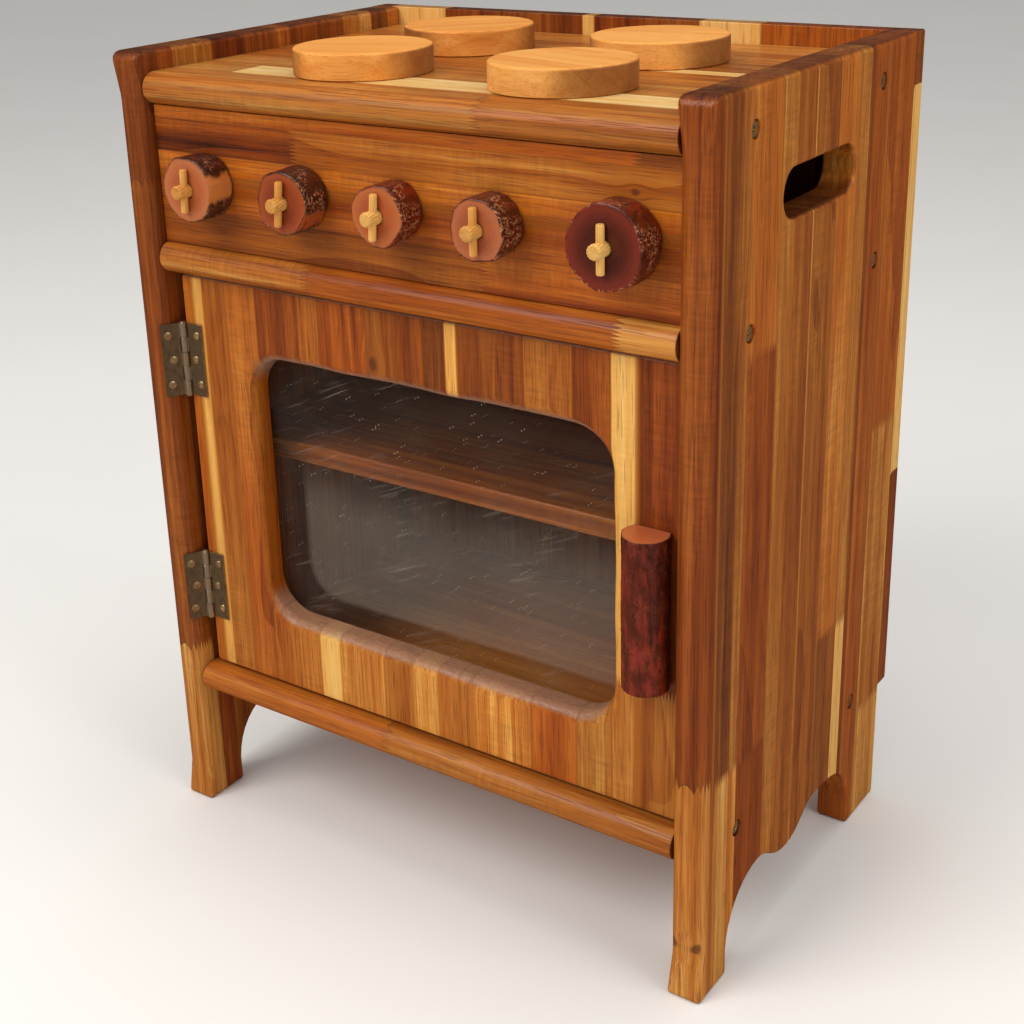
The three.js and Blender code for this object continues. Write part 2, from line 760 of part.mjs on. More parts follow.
function ovenShelf(group) {
  const front = frontY + shelfSetback;
  const rear = boardRearY - shelfRearGap;
  const half = boardHalf - fitGap;
  piece(group, 'oven_shelf',
    box(-half, half, front, rear, shelfBottom, shelfBottom + shelfThickness), boardWood);
  const cleatFront = front + cleatEndGap;
  const cleatRear = rear - cleatEndGap;
  const cleat = new THREE.BoxGeometry(cleatSize, cleatRear - cleatFront, cleatSize);
  for (const [side, hand] of [['left', -1], ['right', 1]]) {
    const x = hand * (boardHalf - cleatSize / 2);
    const z = shelfBottom - fitGap - cleatSize / 2;
    piece(group, `shelf_cleat_${side}`, cleat, boardWood, [x, (cleatFront + cleatRear) / 2, z]);
  }
}

function doorCatch(group) {
  const front = strikeBackY + catchAirGap;
  const body = new THREE.BoxGeometry(catchWidth, catchDepth, catchHeight);
  const centreZ = catchTop - catchHeight / 2;
  piece(group, 'magnet_catch', body, catchPlastic, [catchX, front + catchDepth / 2, centreZ]);
  const strike = new THREE.BoxGeometry(strikeWidth, strikeThickness, strikeHeight);
  const strikeX = doorRight - strikeWidth / 2 - 1;
  piece(group, 'strike_plate', strike, hingeSteel,
    [strikeX, doorBackY + fitGap + strikeThickness / 2, centreZ]);
}

// ---------------------------------------------------------------- assembly

const kitchen = new THREE.Group();
kitchen.position.set(0, originShiftY, 0);

sidePanel(kitchen, 'left_side', -1, darkWood);
sidePanel(kitchen, 'right_side', 1, staveWood);
carcassBoard(kitchen, 'bottom_board', boardCentres[0], boardWood);
carcassBoard(kitchen, 'middle_board', boardCentres[1], boardWood);
carcassBoard(kitchen, 'hob_board', boardCentres[2], boardWood);
backPanel(kitchen);
fascia(kitchen);
sideScrews(kitchen);
doorPanel(kitchen);
windowPane(kitchen);
doorHandle(kitchen);
hinges(kitchen);
knobRow(kitchen);
burners(kitchen);
ovenShelf(kitchen);
doorCatch(kitchen);

export default kitchen;
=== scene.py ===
# %% [markdown]
# # A wooden toy kitchen
# This lesson finishes a small play kitchen: a cabinet of glued hardwood staves, an oven door with a
# window, round burners, and knobs sawn from a branch. The design comes packed as a fixed frame: every
# part has its size, its place and the body that it moves with. Blender adds what the eye needs: rounded
# and worn edges, bark, grain and lacquer. All lengths are in metres.

# %% Load the packed model
import json
import math
import random
from collections import namedtuple

import bmesh
import bpy
from mathutils import Euler, Matrix, Vector, noise

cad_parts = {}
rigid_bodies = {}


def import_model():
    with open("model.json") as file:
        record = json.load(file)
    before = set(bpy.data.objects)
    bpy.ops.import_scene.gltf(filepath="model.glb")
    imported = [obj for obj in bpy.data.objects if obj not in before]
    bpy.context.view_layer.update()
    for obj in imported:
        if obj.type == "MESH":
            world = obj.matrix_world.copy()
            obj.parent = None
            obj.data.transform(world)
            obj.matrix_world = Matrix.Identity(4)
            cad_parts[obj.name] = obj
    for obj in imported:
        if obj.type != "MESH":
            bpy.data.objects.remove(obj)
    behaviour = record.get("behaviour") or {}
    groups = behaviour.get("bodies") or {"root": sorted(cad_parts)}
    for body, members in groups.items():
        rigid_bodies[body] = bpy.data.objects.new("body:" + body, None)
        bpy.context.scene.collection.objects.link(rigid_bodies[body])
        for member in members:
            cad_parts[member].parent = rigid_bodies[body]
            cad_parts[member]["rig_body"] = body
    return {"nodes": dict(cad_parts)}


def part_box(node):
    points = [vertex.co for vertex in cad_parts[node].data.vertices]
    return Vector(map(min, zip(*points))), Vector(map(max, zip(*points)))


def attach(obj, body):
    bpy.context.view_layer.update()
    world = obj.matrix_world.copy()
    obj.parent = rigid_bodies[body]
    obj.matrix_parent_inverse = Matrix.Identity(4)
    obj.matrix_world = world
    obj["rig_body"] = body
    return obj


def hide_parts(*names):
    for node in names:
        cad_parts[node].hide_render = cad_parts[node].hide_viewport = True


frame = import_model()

MM = 0.001
TOUCHING = 1e-6                    # points closer than this, in metres, are one
SHARP_ANGLE = math.radians(50)     # a smooth surface breaks where it turns by more
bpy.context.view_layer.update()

# %% [markdown]
# ## Camera
# The camera comes first, because everything is seen through it. It stands in front of the right
# corner and looks down a little. It could be tilted more instead, but then the sides would lean: the
# frame is shifted down a little, as on a camera with a rising front, and they stay nearly upright.

# %% Camera
CAMERA_PLACE = Vector((0.5640, -0.8231, 0.6681))
CAMERA_TURN = Euler((math.radians(90 - 19.96), 0, math.radians(35.42)))
CAMERA_ROLL = math.radians(-1.79)

camera_data = bpy.data.cameras.new("camera")
camera_data.sensor_width = 36
camera_data.lens = 56.1
camera_data.shift_x = 0.0234
camera_data.shift_y = -0.109
camera = bpy.data.objects.new("camera", camera_data)
camera.matrix_world = (Matrix.Translation(CAMERA_PLACE) @ CAMERA_TURN.to_matrix().to_4x4()
                       @ Matrix.Rotation(CAMERA_ROLL, 4, "Z"))
bpy.context.scene.collection.objects.link(camera)
bpy.context.scene.camera = camera
bpy.context.scene.view_settings.view_transform = "Standard"
print("camera at", tuple(round(value, 3) for value in CAMERA_PLACE))

# %% [markdown]
# ## A short way to write nodes
# Materials, node groups and Geometry Nodes are all trees of nodes. `Net` adds a node and fills its
# inputs in one call: an input is either a value or another node's output, which it links. Trees could
# be drawn by hand in the editor, but a script can be read, compared and changed in one place.

# %% Net
class Net:
    """Short ways to add and join nodes in one tree."""

    def __init__(self, tree):
        self.tree = tree

    def add(self, kind, inputs=(), **settings):
        new = self.tree.nodes.new(kind)
        for name, value in settings.items():
            setattr(new, name, value)
        pairs = inputs.items() if isinstance(inputs, dict) else enumerate(inputs)
        for key, value in pairs:
            self.put(new.inputs[key], value)
        return new

    def first(self, kind, inputs=(), **settings):
        """Adds a node and returns its first output."""
        return self.add(kind, inputs, **settings).outputs[0]

    def put(self, socket, value):
        if isinstance(value, bpy.types.NodeSocket):
            self.tree.links.new(value, socket)
        elif value is not None:
            socket.default_value = value

    def math(self, operation, *values, clamp=False):
        return self.first("ShaderNodeMath", values, operation=operation, use_clamp=clamp)

    def vector(self, operation, *values):
        made = self.add("ShaderNodeVectorMath", values, operation=operation)
        return made.outputs["Value" if operation in ("LENGTH", "DOT_PRODUCT") else "Vector"]

    def scaled(self, place, factor):
        return self.vector("SCALE", place, None, None, factor)

    def xyz(self, vector):
        return self.add("ShaderNodeSeparateXYZ", [vector]).outputs

    def join(self, *parts):
        return self.first("ShaderNodeCombineXYZ", parts)

    def noise(self, place, stretch=(1, 1, 1), detail=2.0, roughness=0.5):
        place = self.vector("MULTIPLY", place, stretch)
        made = self.add("ShaderNodeTexNoise",
                        {"Vector": place, "Scale": 1.0, "Detail": detail, "Roughness": roughness})
        return made.outputs[0]

    def step(self, value, low, high, to_low=0.0, to_high=1.0):
        """A smooth step from to_low to to_high while value goes from low to high."""
        made = self.add("ShaderNodeMapRange", [value, low, high, to_low, to_high],
                        interpolation_type="SMOOTHSTEP")
        return made.outputs[0]

    def mix(self, factor, first, second, blend="MIX"):
        made = self.add("ShaderNodeMix", data_type="RGBA", blend_type=blend)
        for index, value in ((0, factor), (6, first), (7, second)):
            if isinstance(value, tuple) and len(value) == 3:
                value = (*value, 1)
            self.put(made.inputs[index], value)
        return made.outputs[2]

    def tinted(self, color, tint):
        """Multiplies one colour by another."""
        return self.mix(1.0, color, tint, "MULTIPLY")

    def blend(self, factor, first, second):
        """Goes from the number first to the number second."""
        made = self.add("ShaderNodeMix", data_type="FLOAT")
        for index, value in ((0, factor), (2, first), (3, second)):
            self.put(made.inputs[index], value)
        return made.outputs[0]

    def ramp(self, value, stops):
        """A colour ramp; a stop is its position and its colour."""
        made = self.add("ShaderNodeValToRGB", [value])
        elements = made.color_ramp.elements
        for index, (position, color) in enumerate(stops):
            if index > 1:
                elements.new(position)
            elements[index].position = position
            elements[index].color = (*color, 1) if len(color) == 3 else color
        return made

    def group(self, tree, inputs, kind="ShaderNodeGroup"):
        made = self.tree.nodes.new(kind)
        made.node_tree = tree
        for name, value in inputs.items():
            self.put(made.inputs[name], value)
        return made.outputs


def new_group(name, kind, inputs, outputs):
    """A node group with named sockets; returns its Net, what goes in and what comes out."""
    tree = bpy.data.node_groups.new(name, kind)
    for direction, sockets in (("INPUT", inputs), ("OUTPUT", outputs)):
        for label, (socket, default) in sockets.items():
            made = tree.interface.new_socket(label, in_out=direction, socket_type="NodeSocket" + socket)
            if default is not None:
                made.default_value = default
    net = Net(tree)
    return net, net.add("NodeGroupInput").outputs, net.add("NodeGroupOutput")


def new_material(name, constants):
    """A material with one Principled BSDF; returns the material, its Net and the shader."""
    material = bpy.data.materials.new(name)
    material.use_nodes = True
    material.node_tree.nodes.clear()
    net = Net(material.node_tree)
    shader = net.add("ShaderNodeBsdfPrincipled", constants)
    net.add("ShaderNodeOutputMaterial", {"Surface": shader.outputs[0]})
    return material, net, shader


def bump(net, shader, height, depth):
    """Raises the surface by depth metres where height is 1."""
    made = net.add("ShaderNodeBump", {"Distance": depth, "Height": height})
    net.put(shader.inputs["Normal"], made.outputs[0])


print("node helpers:", [name for name in vars(Net) if not name.startswith("_")])

# %% [markdown]
# ## Floor and light
# The kitchen stands in a plain studio: a pale floor, one broad window light from the left and two
# weaker fills. Clear lacquer mirrors whatever is around it, and a white room would lay a milky veil
# over dark wood. The wood could be painted darker to make up for it, but then it would be wrong in
# every other light. So Light Path gives reflected rays a darker, warmer room and floor instead.

# %% Floor and lights
FLOOR_SIZE = 12.0
REFLECTED_FLOOR = (0.15, 0.105, 0.07)
REFLECTED_ROOM = (1, 0.78, 0.52)


def make_floor():
    mesh = bpy.data.meshes.new("studio_floor")
    half = FLOOR_SIZE / 2
    mesh.from_pydata([(-half, -half, 0), (half, -half, 0), (half, half, 0), (-half, half, 0)], [],
                     [(0, 1, 2, 3)])
    floor = bpy.data.objects.new("studio_floor", mesh)
    material, net, shader = new_material("pale_floor", {"Roughness": 0.6})
    place = net.add("ShaderNodeTexCoord").outputs["Object"]
    mottle = net.noise(place, (3, 3, 3), 3)
    pale = net.mix(mottle, (0.86, 0.86, 0.855), (0.9, 0.9, 0.895))
    glossy = net.add("ShaderNodeLightPath").outputs["Is Glossy Ray"]
    net.put(shader.inputs["Base Color"], net.mix(glossy, pale, REFLECTED_FLOOR))
    mesh.materials.append(material)
    bpy.context.scene.collection.objects.link(floor)


def make_light(name, place, target, size, power, color):
    data = bpy.data.lights.new(name, "AREA")
    data.size = size
    data.energy = power
    data.color = color
    light = bpy.data.objects.new(name, data)
    light.location = place
    light.rotation_euler = (Vector(target) - Vector(place)).to_track_quat("-Z", "Y").to_euler()
    bpy.context.scene.collection.objects.link(light)


make_floor()
MIDDLE = (0, 0, 0.3)
make_light("window_light", (-0.9, -1.9, 2.2), MIDDLE, 1.6, 46, (1.0, 0.96, 0.90))
make_light("side_fill", (2.2, -0.2, 1.9), MIDDLE, 1.4, 20, (1.0, 0.95, 0.88))
make_light("top_light", (0.1, 0.1, 2.3), (0, 0, 0.5), 1.0, 10, (1.0, 0.97, 0.93))
world = bpy.data.worlds.new("studio")
bpy.context.scene.world = world
world.use_nodes = True
sky = Net(world.node_tree)
rays = sky.add("ShaderNodeLightPath").outputs
seen = sky.blend(rays["Is Glossy Ray"], 0.55, 0.16)        # reflections see a darker room
seen = sky.blend(rays["Is Camera Ray"], seen, 0.85)
background = world.node_tree.nodes["Background"]
sky.put(background.inputs["Color"], sky.mix(rays["Is Glossy Ray"], (1, 0.985, 0.965), REFLECTED_ROOM))
sky.put(background.inputs["Strength"], seen)

# %% [markdown]
# ## Hardwood
# The cabinet is glued up from narrow staves of a lively hardwood: heartwood from dark red-brown to
# gold, and cream sapwood. A picture of wood would repeat and would be wrong on the ends. A solid
# pattern is better: the group below knows where a point lies in the tree. Growth rings are distances
# from a heart line, fibres are noise stretched along the grain, and pores are short dark dashes. One
# number, the tone, picks the colour from a palette, and all the figure moves that tone up and down.

# %% Node group: hardwood
WOOD_PALETTE = [
    (0.00, (0.045, 0.010, 0.003)),
    (0.18, (0.115, 0.022, 0.004)),
    (0.35, (0.225, 0.046, 0.006)),
    (0.52, (0.355, 0.088, 0.009)),
    (0.68, (0.490, 0.155, 0.020)),
    (0.80, (0.640, 0.270, 0.052)),
    (0.90, (0.780, 0.430, 0.115)),
    (1.00, (0.870, 0.620, 0.260)),
]
RING_WIDTH = 4.2 * MM
# How often each pattern repeats in a metre: across, through and along the grain.
WANDER, STREAK, FIBRE = (12, 12, 3.2), (150, 150, 2.4), (1000, 1000, 24)
# The ripple's changing sheen is painted as bands of colour at the last of these scales.
CLOUD, VEIN, PORE, RIPPLE_SHEEN = (22, 22, 5), (85, 85, 1.3), (1300, 1300, 42), (60, 60, 420)
SOAKED_END = (0.42, 0.36, 0.34)
INSIDE_PORE = (0.35, 0.25, 0.22)


def hardwood_group():
    net, take, give = new_group(
        "hardwood", "ShaderNodeTree",
        {"Place": ("Vector", None), "Facing": ("Vector", None), "Tone": ("Float", 0.5),
         "Seed": ("Float", 0.0), "Figure": ("Float", 1.0), "End Shade": ("Float", 1.0)},
        {"Color": ("Color", None), "Height": ("Float", None), "Roughness": ("Float", None)})
    seed, tone = take["Seed"], take["Tone"]
    place = net.vector("ADD", take["Place"], net.scaled((3.1, 1.7, 5.3), seed))

    # Each seed has its own heart line, 15 to 90 mm behind the face and up to 35 mm to one side.
    chance = net.add("ShaderNodeTexWhiteNoise", {"W": seed}, noise_dimensions="1D").outputs["Color"]
    chance_x, chance_y, chance_z = net.xyz(chance)
    across, through, along = net.xyz(take["Place"])
    heart_x = net.math("MULTIPLY_ADD", chance_x, 70 * MM, -35 * MM)
    heart_y = net.math("MULTIPLY_ADD", chance_y, 75 * MM, 15 * MM)
    lean = net.math("MULTIPLY", net.math("SUBTRACT", chance_z, 0.5), along)
    heart_x = net.math("MULTIPLY_ADD", lean, 0.12, heart_x)
    from_heart = net.join(net.math("SUBTRACT", across, heart_x), net.math("SUBTRACT", through, heart_y), 0)
    wander = net.noise(place, WANDER, 2)
    radius = net.math("MULTIPLY_ADD", wander, 14 * MM, net.vector("LENGTH", from_heart))
    ring = net.math("DIVIDE", radius, RING_WIDTH)
    late = net.math("POWER", net.math("FRACT", ring), 3.0)
    ring_chance = net.first("ShaderNodeTexNoise", {"W": net.math("MULTIPLY", ring, 0.45), "Scale": 1.0},
                            noise_dimensions="1D")
    late = net.math("MULTIPLY", late, net.step(ring_chance, 0.35, 0.7))

    streak = net.noise(place, STREAK, 3, 0.62)
    fibre = net.noise(place, FIBRE, 1)
    cloud = net.noise(place, CLOUD, 2)
    vein = net.step(net.noise(place, VEIN, 1), 0.60, 0.76)
    pore = net.step(net.noise(place, PORE, 0), 0.60, 0.72)

    # Sapwood is quiet: its figure has a third of the contrast.
    loud = net.math("MULTIPLY", net.step(tone, 0.7, 0.93, 1.0, 0.33), take["Figure"])
    change = net.math("MULTIPLY", net.math("SUBTRACT", streak, 0.5), 0.62)
    change = net.math("MULTIPLY_ADD", net.math("SUBTRACT", cloud, 0.5), 0.34, change)
    change = net.math("MULTIPLY_ADD", net.math("SUBTRACT", fibre, 0.5), 0.20, change)
    change = net.math("MULTIPLY_ADD", late, -0.17, change)
    change = net.math("MULTIPLY_ADD", vein, -0.15, change)
    toned = net.math("MULTIPLY_ADD", change, loud, tone)
    color = net.ramp(toned, WOOD_PALETTE).outputs[0]
    open_pore = net.math("MULTIPLY", net.math("MULTIPLY", pore, take["Figure"]), 0.42)
    color = net.mix(open_pore, color, net.tinted(color, INSIDE_PORE))

    # One board leans to orange and the next to olive, and a faint ripple runs across the grain, its sheen
    # painted as light and dark bands.
    lean_hue = net.math("MULTIPLY_ADD", cloud, 0.7, net.math("SUBTRACT", chance_z, 0.35), clamp=True)
    tint = net.mix(lean_hue, (1.05, 0.95, 0.80), (0.88, 1.08, 1.40))
    color = net.mix(net.step(tone, 0.62, 0.82, 1.0, 0.2), color, net.tinted(color, tint))
    ripple = net.noise(place, RIPPLE_SHEEN, 1)
    ripple = net.math("MULTIPLY", net.math("SUBTRACT", ripple, 0.5), net.step(cloud, 0.42, 0.62))
    bright = net.math("MULTIPLY_ADD", net.math("MULTIPLY", ripple, loud), 0.55, 1.0)
    color = net.tinted(color, net.join(bright, bright, bright))

    # The ends of the fibres drink lacquer and go dark.
    end = net.math("ABSOLUTE", net.xyz(take["Facing"])[2])
    end = net.math("MULTIPLY", net.step(end, 0.45, 0.95), take["End Shade"])
    color = net.mix(end, color, net.tinted(color, SOAKED_END))
    height = net.math("MULTIPLY_ADD", pore, -0.8, net.math("MULTIPLY", fibre, 0.6))
    height = net.math("MULTIPLY_ADD", late, -0.25, height)
    rough = net.math("MULTIPLY_ADD", cloud, 0.16, net.math("MULTIPLY", pore, 0.15))
    rough = net.math("MULTIPLY_ADD", end, 0.18, net.math("ADD", rough, 0.24))
    net.put(give.inputs["Color"], color)
    net.put(give.inputs["Height"], height)
    net.put(give.inputs["Roughness"], rough)
    return net.tree


HARDWOOD = hardwood_group()
print("hardwood group:", len(HARDWOOD.nodes), "nodes")

# %% [markdown]
# ## Knots
# Where a branch left the trunk there is a dark round knot, and the grain flows round it. A dark spot
# alone would look like a stain. The group says how far to push the grain aside near the knot, and
# returns a mask for its dark wood.

# %% Node group: knot
def knot_group():
    net, take, give = new_group(
        "knot", "ShaderNodeTree",
        {"Place": ("Vector", None), "Centre": ("Vector", None), "Radius": ("Float", 4 * MM)},
        {"Shift": ("Float", None), "Mask": ("Float", None)})
    offset = net.vector("MULTIPLY", net.vector("SUBTRACT", take["Place"], take["Centre"]), (1, 0, 0.62))
    distance = net.math("DIVIDE", net.vector("LENGTH", offset), take["Radius"])
    pull = net.step(distance, 0.4, 4.5, 0.85, 0.0)
    net.put(give.inputs["Shift"], net.math("MULTIPLY", net.xyz(offset)[0], pull))
    rings = net.math("MULTIPLY_ADD", net.math("SINE", net.math("MULTIPLY", distance, 16.0)), 0.18, 0.72)
    ragged = net.noise(take["Place"], (400, 400, 400), 2)
    edge = net.math("MULTIPLY_ADD", ragged, 0.5, distance)
    net.put(give.inputs["Mask"], net.math("MULTIPLY", net.step(edge, 0.8, 1.35, 1.0, 0.0), rings))
    return net.tree


KNOT = knot_group()
print("knot group:", len(KNOT.nodes), "nodes")

# %% [markdown]
# ## Panels of staves
# On a real panel every stave has its own colour, and long staves are made from shorter ones, joined by
# small interlocking fingers that show as a comb. Each stave could be an object of its own, but the
# panel is sanded as one, and its rounded edges run through all of them. So the panel is one mesh, and a
# colour ramp holds its list of staves: at each glue line it jumps to the next stave's tone, seed and
# joint. That keeps the staves where they are on this kitchen, such as the pale strip beside the window.
# `order` names the axes that run across the staves, through the board and along the grain.

# %% Stave material
Stave = namedtuple("Stave", "start tone soft joints", defaults=(0.4, ()))
FINGER_PITCH = 2.2 * MM
FINGER_LENGTH = 7 * MM
MOST_JOINTS = 2
SAWN_DARK, SAWN_LIGHT = (0.20, 0.085, 0.050), (0.50, 0.30, 0.20)      # end grain without lacquer
GLUE_LINE, KNOT_WOOD = (0.07, 0.022, 0.008), (0.085, 0.022, 0.010)
GLUE_WIDTH = 0.5 * MM


def stave_stops(staves, low, size, value):
    """Ramp stops that change value from stave to stave; a soft start is a sapwood edge."""
    stops = [(0.0, value(0))]
    for index in range(1, len(staves)):
        middle = (staves[index].start * MM - low) / size
        half = staves[index].soft * MM / size / 2
        stops += [(middle - half, value(index - 1)), (middle + half, value(index))]
    return stops


def stave_wood(name, node, order, staves, knots=(), tint=(1, 1, 1), teeth_through=False, rough_ends=0.0):
    material, net, shader = new_material(name, {"Coat Weight": 0.05, "Coat Roughness": 0.2,
                                                "Specular IOR Level": 0.22})
    rng = random.Random(name)
    box_low, box_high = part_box(node)
    axes = ["xyz".index(letter) for letter in order]
    wide_low, wide = box_low[axes[0]], box_high[axes[0]] - box_low[axes[0]]
    long_low, long = box_low[axes[2]], box_high[axes[2]] - box_low[axes[2]]
    coordinates = net.add("ShaderNodeTexCoord").outputs
    place, facing = net.xyz(coordinates["Object"]), net.xyz(coordinates["Normal"])
    across, along = place[axes[0]], place[axes[2]]
    share = net.math("DIVIDE", net.math("SUBTRACT", across, wide_low), wide)

    seeds = [rng.random() for _ in staves]
    edges = [stave.start * MM for stave in staves] + [wide_low + wide]
    centres = [((edges[i] + edges[i + 1]) / 2 - wide_low) / wide for i in range(len(staves))]

    def joint(index, number):
        """The height of a stave's joint as a share of the length, and the tone below it."""
        joints = staves[index].joints
        if number >= len(joints):
            return -1.0, staves[index].tone
        return (joints[number][0] * MM - long_low) / long, joints[number][1]

    first = net.ramp(share, stave_stops(staves, wide_low, wide, lambda i: (
        staves[i].tone, seeds[i], centres[i], 1)))
    tone, seed, centre = net.add("ShaderNodeSeparateColor", [first.outputs[0]]).outputs
    tooth = net.math("PINGPONG", place[axes[1]] if teeth_through else across, FINGER_PITCH / 2)
    tooth = net.math("MULTIPLY", tooth, 2 * FINGER_LENGTH / FINGER_PITCH)
    toothed = net.math("DIVIDE", net.math("SUBTRACT", net.math("ADD", along, tooth), long_low), long)
    glue = None
    for number in range(MOST_JOINTS):
        if not any(len(stave.joints) > number for stave in staves):
            continue
        ramp = net.ramp(share, stave_stops(staves, wide_low, wide, lambda i: (
            joint(i, number)[1], max(joint(i, number)[0], 0.0), float(joint(i, number)[0] > 0), 1)))
        below_tone, height, has_joint = net.add("ShaderNodeSeparateColor", [ramp.outputs[0]]).outputs
        below = net.math("MULTIPLY", net.math("LESS_THAN", toothed, height), has_joint)
        tone = net.blend(below, tone, below_tone)
        seed = net.math("MULTIPLY_ADD", below, 0.31, seed)
        line = net.math("LESS_THAN", net.math("ABSOLUTE", net.math("SUBTRACT", toothed, height)),
                        GLUE_WIDTH / long)
        line = net.math("MULTIPLY", line, has_joint)
        glue = line if glue is None else net.math("MAXIMUM", glue, line)

    centre = net.math("MULTIPLY_ADD", centre, wide, wide_low)
    grain = net.join(across, place[axes[1]], along)
    knot_mask = None
    for knot_across, knot_along, knot_radius in knots:
        out = net.group(KNOT, {"Place": grain, "Radius": knot_radius * MM,
                               "Centre": (knot_across * MM, 0, knot_along * MM)})
        grain = net.vector("SUBTRACT", grain, net.join(out["Shift"], 0, 0))
        knot_mask = out["Mask"] if knot_mask is None else net.math("MAXIMUM", knot_mask, out["Mask"])
    grain = net.vector("SUBTRACT", grain, net.join(centre, 0, 0))
    facing = net.join(*(facing[axis] for axis in axes))
    wood = net.group(HARDWOOD, {"Place": grain, "Facing": facing, "Tone": tone, "Seed": seed,
                                "End Shade": 1.0 - rough_ends})
    color = net.tinted(wood["Color"], tint)
    if rough_ends:
        dusty = net.mix(net.noise(coordinates["Object"], (260, 900, 500), 3), SAWN_DARK, SAWN_LIGHT)
        end = net.step(net.math("ABSOLUTE", net.xyz(facing)[2]), 0.25, 0.75)
        color = net.mix(net.math("MULTIPLY", end, rough_ends), color, dusty)
    if glue is not None:
        color = net.mix(net.math("MULTIPLY", glue, 0.6), color, GLUE_LINE)
    if knot_mask is not None:
        color = net.mix(knot_mask, color, KNOT_WOOD)
    net.put(shader.inputs["Base Color"], color)
    net.put(shader.inputs["Roughness"], wood["Roughness"])
    bump(net, shader, wood["Height"], 0.12 * MM)
    return material


print("a plain stave:", Stave(0, 0.5))

# %% [markdown]
# ## The staves of this kitchen
# The glued panels have pale and dark staves in an order that chance gave them. Random numbers would
# give some other kitchen, so the order is written down. The lists go from one edge to the other: where
# each stave starts in millimetres, its tone from 0 (dark heartwood) to 1 (cream sapwood), how soft its
# edge is, and its joints with the tone below.

# %% Staves of each panel
PALE = 0.885
WINDOW_HEIGHT = 250
DOOR_STAVES = [
    Stave(-183.5, 0.62), Stave(-174, PALE, 3), Stave(-166, 0.59, 0.4, ((116.5, 0.68),)),
    Stave(-146, 0.59), Stave(-119, 0.38, 0.4, ((WINDOW_HEIGHT, 0.66),)),
    Stave(-84, 0.58, 0.4, ((WINDOW_HEIGHT, 0.92),)), Stave(-67, 0.50, 0.4, ((WINDOW_HEIGHT, 0.72),)),
    Stave(-30, 0.50, 0.4, ((WINDOW_HEIGHT, 0.67),)), Stave(-7, 0.43, 0.4, ((WINDOW_HEIGHT, 0.80),)),
    Stave(14, 0.33, 0.4, ((WINDOW_HEIGHT, 0.66),)), Stave(30, PALE, 0.4, ((WINDOW_HEIGHT, 0.67),)),
    Stave(39, 0.40, 0.4, ((WINDOW_HEIGHT, 0.72),)), Stave(85, 0.50, 0.4, ((WINDOW_HEIGHT, 0.62),)),
    Stave(118, 0.42, 0.4, ((WINDOW_HEIGHT, 0.64),)), Stave(142.5, PALE, 0.4, ((197, 0.66),)),
    Stave(160, 0.32, 4, ((197, 0.64),)),
]
RIGHT_STAVES = [
    Stave(-130, 0.40, 0.4, ((152, 0.74),)), Stave(-119, 0.64), Stave(-116.5, 0.42, 2, ((148, 0.72),)),
    Stave(-97.5, 0.64, 0.4, ((148, 0.68),)), Stave(-87.5, 0.61, 0.4, ((396, 0.41), (146, 0.38))),
    Stave(-51, 0.62), Stave(-32.5, 0.52), Stave(-9.5, 0.72, 1), Stave(-7, 0.51, 1),
    Stave(22.5, 0.66, 0.4, ((176, 0.48),)), Stave(52.5, 0.62, 0.4, ((176, 0.88),)),
    Stave(67.5, 0.36), Stave(72, 0.52, 2), Stave(97, 0.54, 0.4, ((296, 0.66), (89, 0.74))),
]
LEFT_STAVES = [
    Stave(-130, 0.30, 0.4, ((462, 0.41), (128, 0.73))), Stave(-112, 0.40),
    Stave(-98, 0.63, 0.4, ((430, 0.50),)),
    Stave(-62, 0.32, 0.4, ((300, 0.54),)), Stave(-30, 0.42), Stave(-2, 0.56, 6),
    Stave(14, 0.36, 0.4, ((210, 0.60),)), Stave(48, 0.44), Stave(72, 0.70, 0.4, ((380, 0.48),)),
    Stave(104, 0.36), Stave(122, 0.52),
]
FASCIA_STAVES = [
    Stave(418, 0.54, 0.4, ((66, 0.47),)), Stave(441, 0.50), Stave(463, 0.57, 6),
    Stave(478, 0.62, 0.4, ((-71, 0.38),)), Stave(499, 0.56, 0.4, ((165, 0.60),)),
]
HOB_STAVES = [
    Stave(-126.5, 0.60, 0.4, ((68, 0.66),)), Stave(-101, 0.93, 3, ((-132, 0.66),)),
    Stave(-70, 0.58), Stave(-34, 0.52), Stave(7.5, 0.92, 0.4, ((70, 0.56),)), Stave(19.5, 0.54),
    Stave(62, 0.60), Stave(100, 0.66),
]
RAIL_STAVES = [
    Stave(-126.5, 0.80, 0.4, ((156, 0.60), (-62, 0.56))), Stave(-98, 0.52), Stave(-40, 0.60),
    Stave(30, 0.48), Stave(90, 0.56),
]
FLOOR_STAVES = [
    Stave(-126.5, 0.60, 0.4, ((-20, 0.64),)), Stave(-90, 0.50), Stave(-30, 0.62), Stave(40, 0.50),
    Stave(95, 0.56),
]
BACK_STAVES = [
    Stave(-211, 0.40), Stave(-196, 0.91, 0.4, ((410, 0.58),)), Stave(-146, 0.37), Stave(-100, 0.48, 4),
    Stave(-62, 0.36), Stave(-29, 0.90, 0.4, ((350, 0.50),)), Stave(-19, 0.34), Stave(20, 0.44),
    Stave(62, 0.93, 0.4, ((330, 0.52),)), Stave(107, 0.60), Stave(150, 0.52),
    Stave(192, 0.38, 0.4, ((509, 0.88), (250, 0.40))),
]
